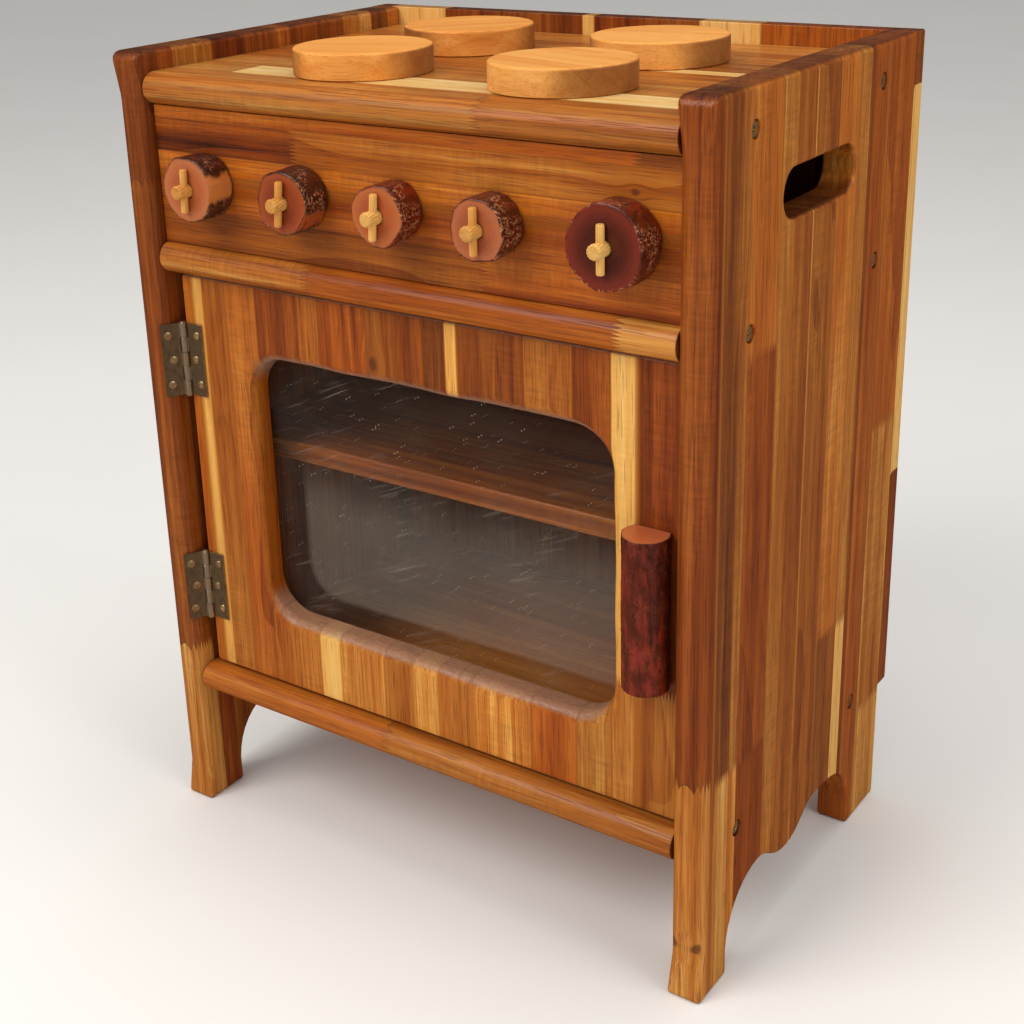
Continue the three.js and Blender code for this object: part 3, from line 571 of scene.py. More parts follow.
WOODS = {
    "door_panel": stave_wood("door_wood", "door_panel", "xyz", DOOR_STAVES, [(-25, 360, 3.4)],
                             (1.0, 0.93, 0.75), rough_ends=0.75),
    "right_side": stave_wood("right_side_wood", "right_side", "yxz", RIGHT_STAVES, [(-127, 38, 2.5)]),
    "left_side": stave_wood("left_side_wood", "left_side", "yxz", LEFT_STAVES, [(-20, 250, 3)]),
    "fascia": stave_wood("fascia_wood", "fascia", "zyx", FASCIA_STAVES, [(486, 160, 2)],
                         (1.02, 0.94, 0.72)),
    "hob_board": stave_wood("hob_wood", "hob_board", "yzx", HOB_STAVES, (), (0.97, 1.08, 1.35), True),
    "middle_board": stave_wood("rail_wood", "middle_board", "yzx", RAIL_STAVES, teeth_through=True),
    "bottom_board": stave_wood("floor_wood", "bottom_board", "yzx", FLOOR_STAVES, teeth_through=True),
    "back_panel": stave_wood("back_wood", "back_panel", "xyz", BACK_STAVES, [(-90, 200, 4)]),
    "oven_shelf": stave_wood("shelf_wood", "oven_shelf", "yzx",
                             [Stave(-80, 0.40), Stave(-20, 0.48), Stave(50, 0.42)]),
}
print("stave panels:", {name: len(m.node_tree.nodes) for name, m in WOODS.items()})

# %% [markdown]
# ## Board outlines
# Every wooden board was sawn to an outline from a flat blank. The outlines could be typed in again,
# but then they could drift from the design. The packed frame already has them, so a plane cuts each
# node, and the cut gives its closed outlines. Long lines get more points, and sharp corners are eased.

# %% Outlines from the frame
SHORTEST = 0.05 * MM
SAMPLE = 4 * MM


def section(node, axis, at):
    """The closed outlines where a plane across axis cuts a node, as lists of 2-D points."""
    cut = bmesh.new()
    cut.from_mesh(frame["nodes"][node].data)
    bmesh.ops.remove_doubles(cut, verts=cut.verts, dist=TOUCHING)
    normal = Vector([float(i == axis) for i in range(3)])
    bmesh.ops.bisect_plane(cut, geom=cut.verts[:] + cut.edges[:] + cut.faces[:], plane_co=normal * at,
                           plane_no=normal, clear_inner=True, clear_outer=True)
    bmesh.ops.remove_doubles(cut, verts=cut.verts, dist=SHORTEST)
    loops, seen = [], set()
    for start in cut.verts:
        if start in seen or len(start.link_edges) != 2:
            continue
        loop, vertex = [], start
        while vertex is not None:
            seen.add(vertex)
            loop.append([value for i, value in enumerate(vertex.co) if i != axis])
            around = [edge.other_vert(vertex) for edge in vertex.link_edges]
            vertex = next((v for v in around if v not in seen), None)
        loops.append(straightened([Vector(point) for point in loop]))
    cut.free()
    return sorted(loops, key=lambda loop: -abs(area(loop)))


def area(loop):
    return sum(a.x * b.y - b.x * a.y for a, b in zip(loop, loop[1:] + loop[:1])) / 2


def straightened(loop):
    """The loop without the points that lie on a straight line."""
    kept = []
    for index, point in enumerate(loop):
        before, after = loop[index - 1], loop[(index + 1) % len(loop)]
        one, two = (point - before).normalized(), (after - point).normalized()
        if abs(one.x * two.y - one.y * two.x) > 1e-3:
            kept.append(point)
    return kept


def sampled(loop, spacing):
    """The loop with extra points on its long straight lines."""
    points = []
    for start, end in zip(loop, loop[1:] + loop[:1]):
        count = max(1, round((end - start).length / spacing))
        points += [start.lerp(end, i / count) for i in range(count)]
    return points


def softened(loop, radius, turn=math.radians(50), steps=6):
    """The loop with its sharp corners rounded."""
    points = []
    for index, corner in enumerate(loop):
        before = (loop[index - 1] - corner).normalized()
        after = (loop[(index + 1) % len(loop)] - corner).normalized()
        if math.pi - before.angle(after) < turn:
            points.append(corner)
            continue
        reach = radius / math.tan(before.angle(after) / 2)
        start, end = corner + before * reach, corner + after * reach
        for step in range(steps + 1):
            t = step / steps
            points.append(start.lerp(corner, t).lerp(corner.lerp(end, t), t))
    return points


door_low, door_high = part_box("door_panel")
door_outlines = section("door_panel", 1, (door_low.y + door_high.y) / 2)
print("door outlines in square centimetres:", [round(abs(area(loop)) * 1e4) for loop in door_outlines])

# %% [markdown]
# ## Rounded edges
# The edges of each board were rounded with a router and then by hand, so the rounding is wider in one
# place than in another. A bevel modifier has one width for all. So the panel is built from rings: each
# ring is the outline moved inwards and up along a quarter circle, and a rule gives the radius at each
# point. Where an outline bends tightly inwards, the radius is limited, so that no ring crosses itself.

# %% A panel with rounded edges
ROUND_STEPS = 6
TAPER = 0.3            # how fast a radius may change along the edge
LEAST_SPREAD = 0.3     # keeps the offset of a needle-sharp corner short
STRAIGHT = 0.02        # a turn in radians that still counts as straight
BEND_SHARE = 0.9       # how much of a bend's own radius the rounding may use


def inward_normals(loop):
    """For each point the direction into the wood, long enough to move both its edges by 1."""
    normals = []
    for index, point in enumerate(loop):
        before = (point - loop[index - 1]).normalized()
        after = (loop[(index + 1) % len(loop)] - point).normalized()
        one, two = Vector((-before.y, before.x)), Vector((-after.y, after.x))
        normals.append((one + two) / max(LEAST_SPREAD, 1 + one.dot(two)))
    return normals


def edge_radii(loop, rule):
    """The rounding at each point: what the rule wants, no more than the bend allows, and smooth."""
    radii = []
    for index, point in enumerate(loop):
        before, after = point - loop[index - 1], loop[(index + 1) % len(loop)] - point
        turn = math.atan2(before.x * after.y - before.y * after.x, before.dot(after))
        bend = (before.length + after.length) / 2 / turn if turn > STRAIGHT else 1.0
        radii.append(min(rule(point), BEND_SHARE * bend))
    for _ in range(2):
        for index in list(range(len(loop))) + list(range(len(loop) - 1, -1, -1)):
            for other in (index - 1, (index + 1) % len(loop)):
                reach = radii[other] + TAPER * (loop[index] - loop[other]).length
                radii[index] = min(radii[index], reach)
    return radii


def rounded_panel(name, loops, axis, low, high, rule, material):
    """A board between low and high along axis. rule(point, hole, top) is the rounding there."""
    shape = bmesh.new()
    plane = [i for i in range(3) if i != axis]
    caps = {False: [], True: []}
    for number, loop in enumerate(loops):
        if (area(loop) < 0) == (number == 0):
            loop = loop[::-1]
        normals = inward_normals(loop)
        rings = []
        for top in (False, True):
            radii = edge_radii(loop, lambda point: rule(point, number, top))
            for step in range(ROUND_STEPS + 1):
                angle = math.pi / 2 * (step if top else ROUND_STEPS - step) / ROUND_STEPS
                ring = []
                for point, normal, radius in zip(loop, normals, radii):
                    flat = point + normal * radius * (1 - math.cos(angle))
                    rise = radius * (1 - math.sin(angle))
                    place = Vector((0, 0, 0))
                    place[plane[0]], place[plane[1]] = flat
                    place[axis] = high - rise if top else low + rise
                    ring.append(shape.verts.new(place))
                rings.append(ring)
        for lower, upper in zip(rings, rings[1:]):
            for i in range(len(loop)):
                j = (i + 1) % len(loop)
                shape.faces.new((lower[i], lower[j], upper[j], upper[i]))
        for top, ring in ((False, rings[0]), (True, rings[-1])):
            caps[top] += [shape.edges.get((ring[i], ring[i - 1])) for i in range(len(ring))]
    for edges in caps.values():
        bmesh.ops.triangle_fill(shape, use_beauty=True, edges=edges)
    bmesh.ops.recalc_face_normals(shape, faces=shape.faces)
    for face in shape.faces:
        face.smooth = True
    mesh = bpy.data.meshes.new(name)
    shape.to_mesh(mesh)
    shape.free()
    mesh.materials.append(material)
    return finished(bpy.data.objects.new(name, mesh))


def finished(piece, width=0.0, sharp=math.radians(34)):
    """Applies a small bevel and even shading, and returns the object with a plain mesh."""
    bpy.context.scene.collection.objects.link(piece)
    piece.data.set_sharp_from_angle(angle=SHARP_ANGLE)
    if width:
        bevel = piece.modifiers.new("edges", "BEVEL")
        bevel.width = width
        bevel.segments = 2
        bevel.limit_method = "ANGLE"
        bevel.angle_limit = sharp
        bevel.use_clamp_overlap = True
    normals = piece.modifiers.new("shading", "WEIGHTED_NORMAL")
    normals.keep_sharp = True
    view = bpy.context.evaluated_depsgraph_get()
    mesh = bpy.data.meshes.new_from_object(piece.evaluated_get(view))
    piece.modifiers.clear()
    piece.data = mesh
    return piece


def stands_for(piece, node):
    """Hands a finished piece to the frame in place of one CAD node."""
    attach(piece, frame["nodes"][node]["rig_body"])
    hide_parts(node)
    return piece


print("rings per outline:", 2 * (ROUND_STEPS + 1))

# %% [markdown]
# ## Side panels
# Each side is one panel with a hand slot, and an ogee arch sawn out between the legs. Its front edge is
# rounded like a nose, the top less, and the hand slot enough to be kind to fingers. Six counterbored
# holes take the bolts. They could be cut with a boolean, but a second cut of the node, close to the
# outer face, gives their outlines too, and the rings then round their rims like every other edge.

# %% Make the sides
NOSE, TOP_ROUND, SLOT_ROUND, ARCH_ROUND = 10 * MM, 3.5 * MM, 2.6 * MM, 2.2 * MM
BOLT_HOLE_ROUND = 0.5 * MM
BOLT_HOLE_AREA = 150 * MM * MM


def make_side(node, outer_is_high):
    low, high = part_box(node)
    middle = (low.x + high.x) / 2
    outer = high.x - MM if outer_is_high else low.x + MM
    big = [loop for loop in section(node, 0, middle) if abs(area(loop)) > BOLT_HOLE_AREA]
    bolts = [loop for loop in section(node, 0, outer) if abs(area(loop)) < BOLT_HOLE_AREA]
    loops = [sampled(softened(loop, 3 * MM), SAMPLE) for loop in big] + bolts

    def rule(point, number, top):
        if number >= len(big):
            return BOLT_HOLE_ROUND
        if number > 0:
            return SLOT_ROUND
        if point.x < low.y + MM:
            return NOSE
        if point.y > high.z - MM:
            return TOP_ROUND
        return MM if point.x > high.y - MM else ARCH_ROUND

    side = rounded_panel(node + "_panel", loops, 0, low.x, high.x, rule, WOODS[node])
    print(node, "outlines:", len(loops), "faces:", len(side.data.polygons))
    return stands_for(side, node)


make_side("left_side", False)
make_side("right_side", True)

# %% [markdown]
# ## Boards, fascia and back
# The three boards run from side to side with a rounded nose in front. Seen from the side, that nose is
# part of their profile, so the profile is the outline and the board is as thick as the kitchen is
# wide. The fascia, the shelf and the back panel are plain boards whose edges were broken with paper.

# %% Make the boards
BROKEN_EDGE = 0.7 * MM


def make_board(node, axis, corner):
    low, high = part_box(node)
    outline = section(node, axis, (low[axis] + high[axis]) / 2)[0]
    loops = [softened(outline, corner)]
    board = rounded_panel(node + "_wood", loops, axis, low[axis], high[axis],
                          lambda point, number, top: BROKEN_EDGE, WOODS[node])
    return stands_for(board, node)


for board_node in ("hob_board", "middle_board", "bottom_board"):
    make_board(board_node, 0, MM)
make_board("fascia", 1, MM)
make_board("oven_shelf", 0, 2 * MM)
make_board("back_panel", 1, 1.5 * MM)

# %% [markdown]
# ## Oven door
# The window was sawn by hand and then rounded with a router held free, so the rounding is wide and
# uneven. Displacing the finished mesh would make the flat face wavy too. Instead the rule for the front
# edge of the window adds a slow wave to the radius, and the face stays flat.

# %% Make the door
DOOR_ROUND = 2.4 * MM
WINDOW_ROUND = 7.5 * MM
WINDOW_WAVE = 2.6 * MM


def make_door():
    low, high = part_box("door_panel")
    loops = [sampled(softened(outline, 3.5 * MM), SAMPLE) for outline in door_outlines[:2]]

    def rule(point, number, top):
        if number == 0:
            return DOOR_ROUND
        if top:
            return 2 * MM
        return WINDOW_ROUND + WINDOW_WAVE * noise.noise(Vector((point.x, point.y, 0.4)) * 28)

    door = rounded_panel("oven_door_wood", loops, 1, low.y, high.y, rule, WOODS["door_panel"])
    print("door faces:", len(door.data.polygons))
    return stands_for(door, "door_panel")


make_door()

# %% [markdown]
# ## Wood without glue lines
# Burners, dowels and cleats are each cut from one piece of wood. The hardwood group serves them too,
# with its pattern centred on the piece and turned to its grain. An empty object could steer the
# pattern, but it would be lost in an export, so Mapping nodes do it.

# %% Plain wood for small pieces
def plain_wood(name, centre, turn, tone, seed, figure=1.0, grain_axes="xyz", duller=0.0, end_shade=1.0,
               tint=(1, 1, 1)):
    """Wood without glue lines, its pattern centred on a piece and turned about the vertical."""
    material, net, shader = new_material(name, {"Coat Weight": 0.04, "Coat Roughness": 0.3,
                                                "Specular IOR Level": 0.2})
    coordinates = net.add("ShaderNodeTexCoord").outputs
    moved = net.first("ShaderNodeMapping", {"Vector": coordinates["Object"], "Location": centre,
                                            "Rotation": (0, 0, turn)}, vector_type="TEXTURE")
    turned = net.first("ShaderNodeMapping", {"Vector": coordinates["Normal"], "Rotation": (0, 0, turn)},
                       vector_type="TEXTURE")
    axes = ["xyz".index(letter) for letter in grain_axes]
    place, facing = net.xyz(moved), net.xyz(turned)
    wood = net.group(HARDWOOD, {"Place": net.join(*(place[a] for a in axes)),
                                "Facing": net.join(*(facing[a] for a in axes)),
                                "Tone": tone, "Seed": seed, "Figure": figure, "End Shade": end_shade})
    net.put(shader.inputs["Base Color"], net.tinted(wood["Color"], tint))
    net.put(shader.inputs["Roughness"], net.math("ADD", wood["Roughness"], duller))
    bump(net, shader, wood["Height"], 0.10 * MM)
    return material


print("materials before the burners:", len(bpy.data.materials))

# %% [markdown]
# ## Burners
# The four burners are discs sawn from a lighter plank and sanded by hand, so they are not quite round.
# A cylinder would be too perfect. A circle with a slow wobble makes the outline, and the panel builder
# rounds its edges, more on top than below. Each burner has its own wood, turned its own way.

# %% Make the burners
BURNER_POINTS = 120
BURNER_WOBBLE = 0.012        # share of the radius
BURNER_TINT = (1.17, 1.04, 0.95)
BURNERS = {
    "burner_front_left": (0.35, 0.845, 0.21),
    "burner_front_right": (-0.25, 0.84, 0.64),
    "burner_rear_left": (0.8, 0.82, 0.37),
    "burner_rear_right": (0.1, 0.845, 0.88),
}


def make_burner(node, turn, tone, seed):
    low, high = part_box(node)
    centre, radius = (low + high) / 2, (high.x - low.x) / 2
    outline = []
    for index in range(BURNER_POINTS):
        angle = 2 * math.pi * index / BURNER_POINTS
        spoke = Vector((math.cos(angle), math.sin(angle)))
        wobble = BURNER_WOBBLE * (noise.noise(Vector((spoke.x * 1.6, spoke.y * 1.6, seed * 40))) - 0.5)
        outline.append(Vector((centre.x, centre.y)) + spoke * radius * (1 + wobble))
    material = plain_wood(node + "_wood", centre, turn, tone, seed, 0.5, "yzx", 0.12, tint=BURNER_TINT)
    disc = rounded_panel(node + "_disc", [outline], 2, low.z, high.z,
                         lambda point, number, top: (1.8 if top else 0.6) * MM, material)
    return stands_for(disc, node)


for burner_node, (turn, tone, seed) in BURNERS.items():
    make_burner(burner_node, turn, tone, seed)
print("burners:", len(BURNERS))

# %% [markdown]
# ## Geometry Nodes from a script
# The knobs, the handle, the dowels and the screws follow rules, so node trees make them. They could
# stay live, but an export wants plain meshes. So `grow` puts a tree on an empty object, sets
# its inputs by their identifiers, takes the result as a plain mesh and moves it to its place, so that
# the finished object stays at the origin. `branch_relief` is the rule for bark, and `ended` ends a tree.

# %% Growing a mesh from a tree
SHAPE = {"Geometry": ("Geometry", None)}


def grow(name, tree, values, place=None):
    piece = bpy.data.objects.new(name, bpy.data.meshes.new(name))
    bpy.context.scene.collection.objects.link(piece)
    modifier = piece.modifiers.new("rule", "NODES")
    modifier.node_group = tree
    for item in tree.interface.items_tree:
        if item.in_out == "INPUT" and item.name in values:
            modifier[item.identifier] = values[item.name]
    view = bpy.context.evaluated_depsgraph_get()
    mesh = bpy.data.meshes.new_from_object(piece.evaluated_get(view))
    piece.modifiers.clear()
    piece.data = mesh
    mesh.transform(place or Matrix.Identity(4))
    return piece


def branch_relief(net, take, position):
    """Bark on the side of a branch along Z: the moved position, and where it is bark or bare."""
    x, y, z = net.xyz(position)
    flat = net.join(x, y, 0)
    radius = net.vector("LENGTH", flat)
    outward = net.vector("NORMALIZE", flat)
    share = net.math("DIVIDE", radius, take["Radius"])
    side = net.step(share, 0.93, 0.965)
    shift = net.join(0, 0, take["Seed"])
    around = net.vector("ADD", outward, shift)
    lumps = net.noise(net.vector("ADD", around, net.join(0, 0, net.math("MULTIPLY", z, 12.0))),
                      (1.1, 1.1, 1.1), 1)
    lumps = net.math("MULTIPLY", net.math("SUBTRACT", lumps, 0.55), take["Lumps"])
    place = net.vector("ADD", position, shift)
    flakes = net.noise(place, (260, 260, 150), 4, 0.6)
    plates = net.add("ShaderNodeTexVoronoi", {
        "Vector": net.vector("MULTIPLY", place, (230, 230, 120)), "Scale": 1.0}, feature="DISTANCE_TO_EDGE")
    plate = net.step(plates.outputs["Distance"], 0.0, 0.16)
    toward = net.join(net.math("COSINE", take["Bare Angle"]), net.math("SINE", take["Bare Angle"]), 0)
    ragged = net.noise(place, (90, 90, 160), 2)
    facing = net.math("MULTIPLY_ADD", ragged, 0.22, net.vector("DOT_PRODUCT", outward, toward))
    past_limit = net.math("SUBTRACT", facing, take["Bare Limit"])
    bare = net.step(past_limit, 0.07, 0.13)
    bark = net.math("MULTIPLY_ADD", flakes, 1.5, net.math("MULTIPLY", plate, 0.35))
    bark = net.math("MULTIPLY", net.math("SUBTRACT", bark, 1.15), take["Bark"])
    relief = net.blend(bare, bark, net.math("MULTIPLY", take["Bark"], -1.6))
    relief = net.math("MULTIPLY", relief, side)
    move = net.math("MULTIPLY_ADD", lumps, net.step(share, 0.45, 0.95), relief)
    # The planed back: each spoke of the cross-section is shortened to end in the flat.
    rim = net.math("DIVIDE", y, share)
    round_part = net.step(net.math("SUBTRACT", take["Back"], rim), 0.1 * MM, 1.6 * MM)
    moved = net.vector("ADD", position, net.scaled(outward, net.math("MULTIPLY", move, round_part)))
    shorter = net.math("MINIMUM", 1.0, net.math("DIVIDE", take["Back"], net.math("MAXIMUM", rim, MM)))
    moved = net.vector("MULTIPLY", moved, net.join(shorter, shorter, 1.0))
    return moved, side, bare, share


BRANCH_INPUTS = {
    "Radius": ("Float", 20 * MM), "Length": ("Float", 20 * MM), "Bore": ("Float", 5 * MM),
    "Lumps": ("Float", 2 * MM), "Bark": ("Float", 0.6 * MM), "Bare Angle": ("Float", 0.0),
    "Bare Limit": ("Float", 2.0), "Seed": ("Float", 0.0), "Back": ("Float", 1.0),
    "Material": ("Material", None),
}


def stored(net, geometry, name, value):
    made = net.add("GeometryNodeStoreNamedAttribute", {"Geometry": geometry, "Name": name, "Value": value},
                   data_type="FLOAT", domain="POINT")
    return made.outputs[0]


def with_relief(net, take, give, geometry):
    """Stores the branch's masks, moves its surface and gives it its material."""
    moved, side, bare, share = branch_relief(net, take, net.first("GeometryNodeInputPosition"))
    for name, value in (("side", side), ("bare", bare), ("ring", share)):
        geometry = stored(net, geometry, name, value)
    geometry = net.first("GeometryNodeSetPosition", {"Geometry": geometry, "Position": moved})
    return ended(net, take, give, geometry)


def ended(net, take, give, geometry):
    """The end of every tree that makes one solid: smooth shading, real geometry and its material."""
    geometry = net.first("GeometryNodeSetShadeSmooth", {"Geometry": geometry})
    geometry = net.first("GeometryNodeRealizeInstances", [geometry])
    geometry = net.first("GeometryNodeSetMaterial", {"Geometry": geometry, "Material": take["Material"]})
    net.put(give.inputs[0], geometry)
    return net.tree


print("branch inputs:", list(BRANCH_INPUTS))

# %% [markdown]
# ## Branch slices and the branch handle
# A knob is a slice of a branch with its bark on, bored for the dowel that it turns on. It could be a
# cylinder with a hole cut by a boolean, but that leaves long thin faces. The tree sweeps a small
# rounded rectangle round a circle instead, which leaves the bore open and gives even faces, and then
# lets noise push the outer skin about. The handle is a longer piece of branch that is planed flat at
# the back, so it starts as a cylinder whose spokes are shortened there.

# %% Trees for the slice and the handle
SLICE_AROUND, SLICE_PROFILE = 176, 84      # points round the branch and round the swept rectangle
SLICE_EDGE = 0.8 * MM


def slice_tree():
    net, take, give = new_group("branch_slice", "GeometryNodeTree", BRANCH_INPUTS, SHAPE)
    middle = net.math("MULTIPLY", net.math("ADD", take["Radius"], take["Bore"]), 0.5)
    wall = net.math("SUBTRACT", take["Radius"], take["Bore"])
    path = net.first("GeometryNodeCurvePrimitiveCircle", {"Resolution": SLICE_AROUND, "Radius": middle})
    profile = net.first("GeometryNodeCurvePrimitiveQuadrilateral", {"Width": wall, "Height": take["Length"]})
    profile = net.first("GeometryNodeFilletCurve", {"Curve": profile, "Radius": SLICE_EDGE, "Count": 3},
                        mode="POLY")
    profile = net.first("GeometryNodeResampleCurve", {"Curve": profile, "Count": SLICE_PROFILE})
    mesh = net.first("GeometryNodeCurveToMesh", {"Curve": path, "Profile Curve": profile})
    return with_relief(net, take, give, mesh)


def rod_tree():
    net, take, give = new_group("branch_rod", "GeometryNodeTree", BRANCH_INPUTS, SHAPE)
    mesh = net.first("GeometryNodeMeshCylinder", {"Vertices": 128, "Side Segments": 130, "Fill Segments": 16,
                                                  "Radius": take["Radius"], "Depth": take["Length"]},
                     fill_type="TRIANGLE_FAN")
    return with_relief(net, take, give, mesh)


BRANCH_SLICE, BRANCH_ROD = slice_tree(), rod_tree()
print("slice tree:", len(BRANCH_SLICE.nodes), "nodes; rod tree:", len(BRANCH_ROD.nodes), "nodes")

# %% [markdown]
# ## Bark and cut faces
# A cut branch shows a sanded face with growth rings, and flaky dark bark with pale flecks where the
# flakes broke, both under lacquer. Thin wiggly pale strokes on the bark are painted glints of light on
# that lacquer. Two materials would meet in a hard line. The trees left three attributes on the mesh
# instead: `side` is 1 on the skin, `bare` where bark is missing, and `ring` grows from the heart to
# the rim. One material mixes both surfaces by them.

# %% Branch material
LIGHT_BARK, GREY_BARK = (2.6, 2.0, 1.5), (0.30, 0.42, 0.55)      # tints of the bark's own colour
CUT_SPECKLE = (0.62, 0.52, 0.48)
# amount is how many pale flecks and painted glints; patch and flake are how often those patterns repeat in a
# metre.
Branch = namedtuple("Branch", "heart rim bark fleck amount under patch flake",
                    defaults=((0.66, 0.22, 0.035), (55, 55, 22), (260, 260, 260)))


def branch_wood(name, branch, centre):
    material, net, shader = new_material(name, {"Coat Weight": 0.2, "Coat Roughness": 0.22,
                                                "Specular IOR Level": 0.35})
    place = net.add("ShaderNodeTexCoord").outputs["Object"]
    place = net.first("ShaderNodeMapping", {"Vector": place, "Location": centre}, vector_type="TEXTURE")

    def attribute(label):
        return net.add("ShaderNodeAttribute", attribute_name=label).outputs["Fac"]

    ring = attribute("ring")
    wander = net.noise(place, (90, 90, 90), 2)
    phase = net.math("MULTIPLY_ADD", ring, 46.0, net.math("MULTIPLY", wander, 9.0))
    rings = net.math("MULTIPLY_ADD", net.math("SINE", phase), 0.5, 0.5)
    speckle = net.noise(place, (420, 300, 420), 4, 0.7)
    cut = net.mix(net.step(ring, 0.45, 0.98), branch.heart, branch.rim)
    darker = net.tinted(cut, CUT_SPECKLE)
    lines = net.math("MULTIPLY", net.math("POWER", rings, 3.0), 0.16)
    cut = net.mix(net.math("MULTIPLY_ADD", speckle, 0.55, lines, clamp=True), cut, darker)

    flakes = net.noise(place, branch.flake, 4, 0.65)
    patches = net.noise(place, (75, 75, 75), 2)
    light_bark = tuple(part * tint for part, tint in zip(branch.bark, LIGHT_BARK))
    bark = net.mix(net.step(flakes, 0.38, 0.66), branch.bark, light_bark)
    weathered = net.step(net.noise(place, branch.patch, 3, 0.6), 0.40, 0.60)
    bark = net.mix(net.math("MULTIPLY", weathered, 0.75), bark, net.tinted(bark, GREY_BARK))
    # Painted glints: thin wiggly pale strokes stand in for highlights on the lacquered bark; the chips are
    # pale flecks where flakes broke.
    glint_worm = net.math("ABSOLUTE", net.math("SUBTRACT", net.noise(place, (300, 300, 300), 2), 0.5))
    glint_worm = net.math("MULTIPLY", net.step(glint_worm, 0.008, 0.030, 1.0, 0.0), net.step(patches, 0.40, 0.56))
    chips = net.step(net.noise(place, (620, 620, 620), 1), 0.60, 0.68)
    chips = net.math("MULTIPLY", chips, net.step(patches, 0.45, 0.6))
    fleck = net.math("MULTIPLY", net.math("MAXIMUM", glint_worm, chips), branch.amount)
    bark = net.mix(fleck, bark, branch.fleck)
    under = net.mix(net.noise(place, (300, 40, 300), 3), branch.rim, branch.under)
    skin = net.mix(attribute("bare"), bark, under)
    side = attribute("side")
    color = net.mix(side, cut, skin)
    net.put(shader.inputs["Base Color"], color)
    net.put(shader.inputs["Roughness"], net.math("MULTIPLY_ADD", flakes, 0.25, 0.24))
    rough_skin = net.math("MULTIPLY", net.math("ADD", flakes, net.math("MULTIPLY", fleck, 0.4)), side)
    bump(net, shader, net.math("MULTIPLY_ADD", rings, 0.06, rough_skin), 0.35 * MM)
    return material


print("a branch is described by:", Branch._fields)

# %% [markdown]
# ## Knobs
# The five knobs were sawn from different branches, and the last from a thicker, darker one. A single
# knob could be copied five times, but every child would see it. One function makes them all, and the
# list gives each its own colours and seed. The two last numbers are where bark has come off: the
# direction in radians, and how much of the rim is bare, from -1 (all of it) to more than 1 (none).

# %% Make the knobs
DARK_BARK, RED_BARK = (0.052, 0.011, 0.004), (0.105, 0.011, 0.003)
# The colour of pale flecks where bark broke, and of painted glints on the lacquered bark.
FLECK_AND_GLINT = (0.58, 0.25, 0.11)
KNOBS = [
    (Branch((0.44, 0.110, 0.032), (0.53, 0.165, 0.055), DARK_BARK, FLECK_AND_GLINT, 0.6), 0.08, 0.93),
    (Branch((0.27, 0.042, 0.008), (0.36, 0.070, 0.014), DARK_BARK, FLECK_AND_GLINT, 0.8, (0.40, 0.065, 0.012)),
     -0.62, 0.975),
    (Branch((0.43, 0.092, 0.022), (0.51, 0.140, 0.035), RED_BARK, FLECK_AND_GLINT, 0.95), 0.0, 2.0),
    (Branch((0.40, 0.100, 0.032), (0.49, 0.140, 0.050), (0.075, 0.012, 0.004), FLECK_AND_GLINT, 0.9), 0.0, 2.0),
    (Branch((0.085, 0.009, 0.003), (0.20, 0.021, 0.006), RED_BARK, FLECK_AND_GLINT, 0.75), 0.0, 2.0),
]
TO_FRONT = Matrix.Rotation(math.radians(90), 4, "X")      # turns Z to face the child


def make_knob(number, branch, bare_angle, bare_limit):
    node = f"knob_{number}"
    low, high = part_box(node)
    dowel_low, dowel_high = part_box(f"knob_dowel_{number}")
    centre = (dowel_low + dowel_high) / 2
    centre.y = (low.y + high.y) / 2
    piece = grow(f"{node}_slice", BRANCH_SLICE, {
        "Radius": (high.x - low.x) / 2 - 0.5 * MM, "Length": high.y - low.y,
        "Bore": (dowel_high.x - dowel_low.x) / 2 + 0.3 * MM, "Lumps": 4.4 * MM, "Bark": 0.8 * MM,
        "Bare Angle": bare_angle, "Bare Limit": bare_limit, "Seed": number * 3.7,
        "Material": branch_wood(f"{node}_branch", branch, centre),
    }, Matrix.Translation(centre) @ TO_FRONT)
    return stands_for(piece, node)


for number, (branch, bare_angle, bare_limit) in enumerate(KNOBS, 1):
    knob = make_knob(number, branch, bare_angle, bare_limit)
print("last knob:", len(knob.data.polygons), "faces")

# %% [markdown]
# ## Door handle
# The handle is a length of the same kind of branch, planed flat where it meets the door. A child's
# hands have rubbed its bark smooth and red, so its patches run along the branch, and it has few pale
# flecks and painted glints. The slices' own tree could be stretched, but a rod has no bore, so it has
# the other tree.

# %% Make the handle
# The fourth colour is for pale flecks and painted glints, and 0.10 is how many of them.
HANDLE = Branch((0.56, 0.135, 0.042), (0.58, 0.155, 0.052), (0.090, 0.0085, 0.0015), (0.50, 0.17, 0.09),
                0.10, patch=(120, 120, 16), flake=(170, 170, 70))


def make_handle():
    low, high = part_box("door_handle")
    radius = (high.x - low.x) / 2
    centre = Vector(((low.x + high.x) / 2, low.y + radius, (low.z + high.z) / 2))
    piece = grow("door_handle_branch", BRANCH_ROD, {
        "Radius": radius - 0.4 * MM, "Length": high.z - low.z, "Lumps": 1.6 * MM, "Bark": 0.7 * MM,
        "Seed": 31.0, "Back": high.y - centre.y, "Material": branch_wood("handle_branch", HANDLE, centre),
    }, Matrix.Translation(centre))
    return stands_for(piece, "door_handle")


print("handle:", len(make_handle().data.polygons), "faces")

# %% [markdown]
# ## Fluted dowels and cross pins
# Each knob turns on a glued beech dowel with shallow twisted flutes, and a thin pin through the dowel
# keeps it on. Flutes could be swept cutters, but they are shallow, so moving the skin is enough. One
# tree makes both pieces: a cylinder whose radius waves round the axis and shrinks at the ends. The pin
# simply has no flutes.

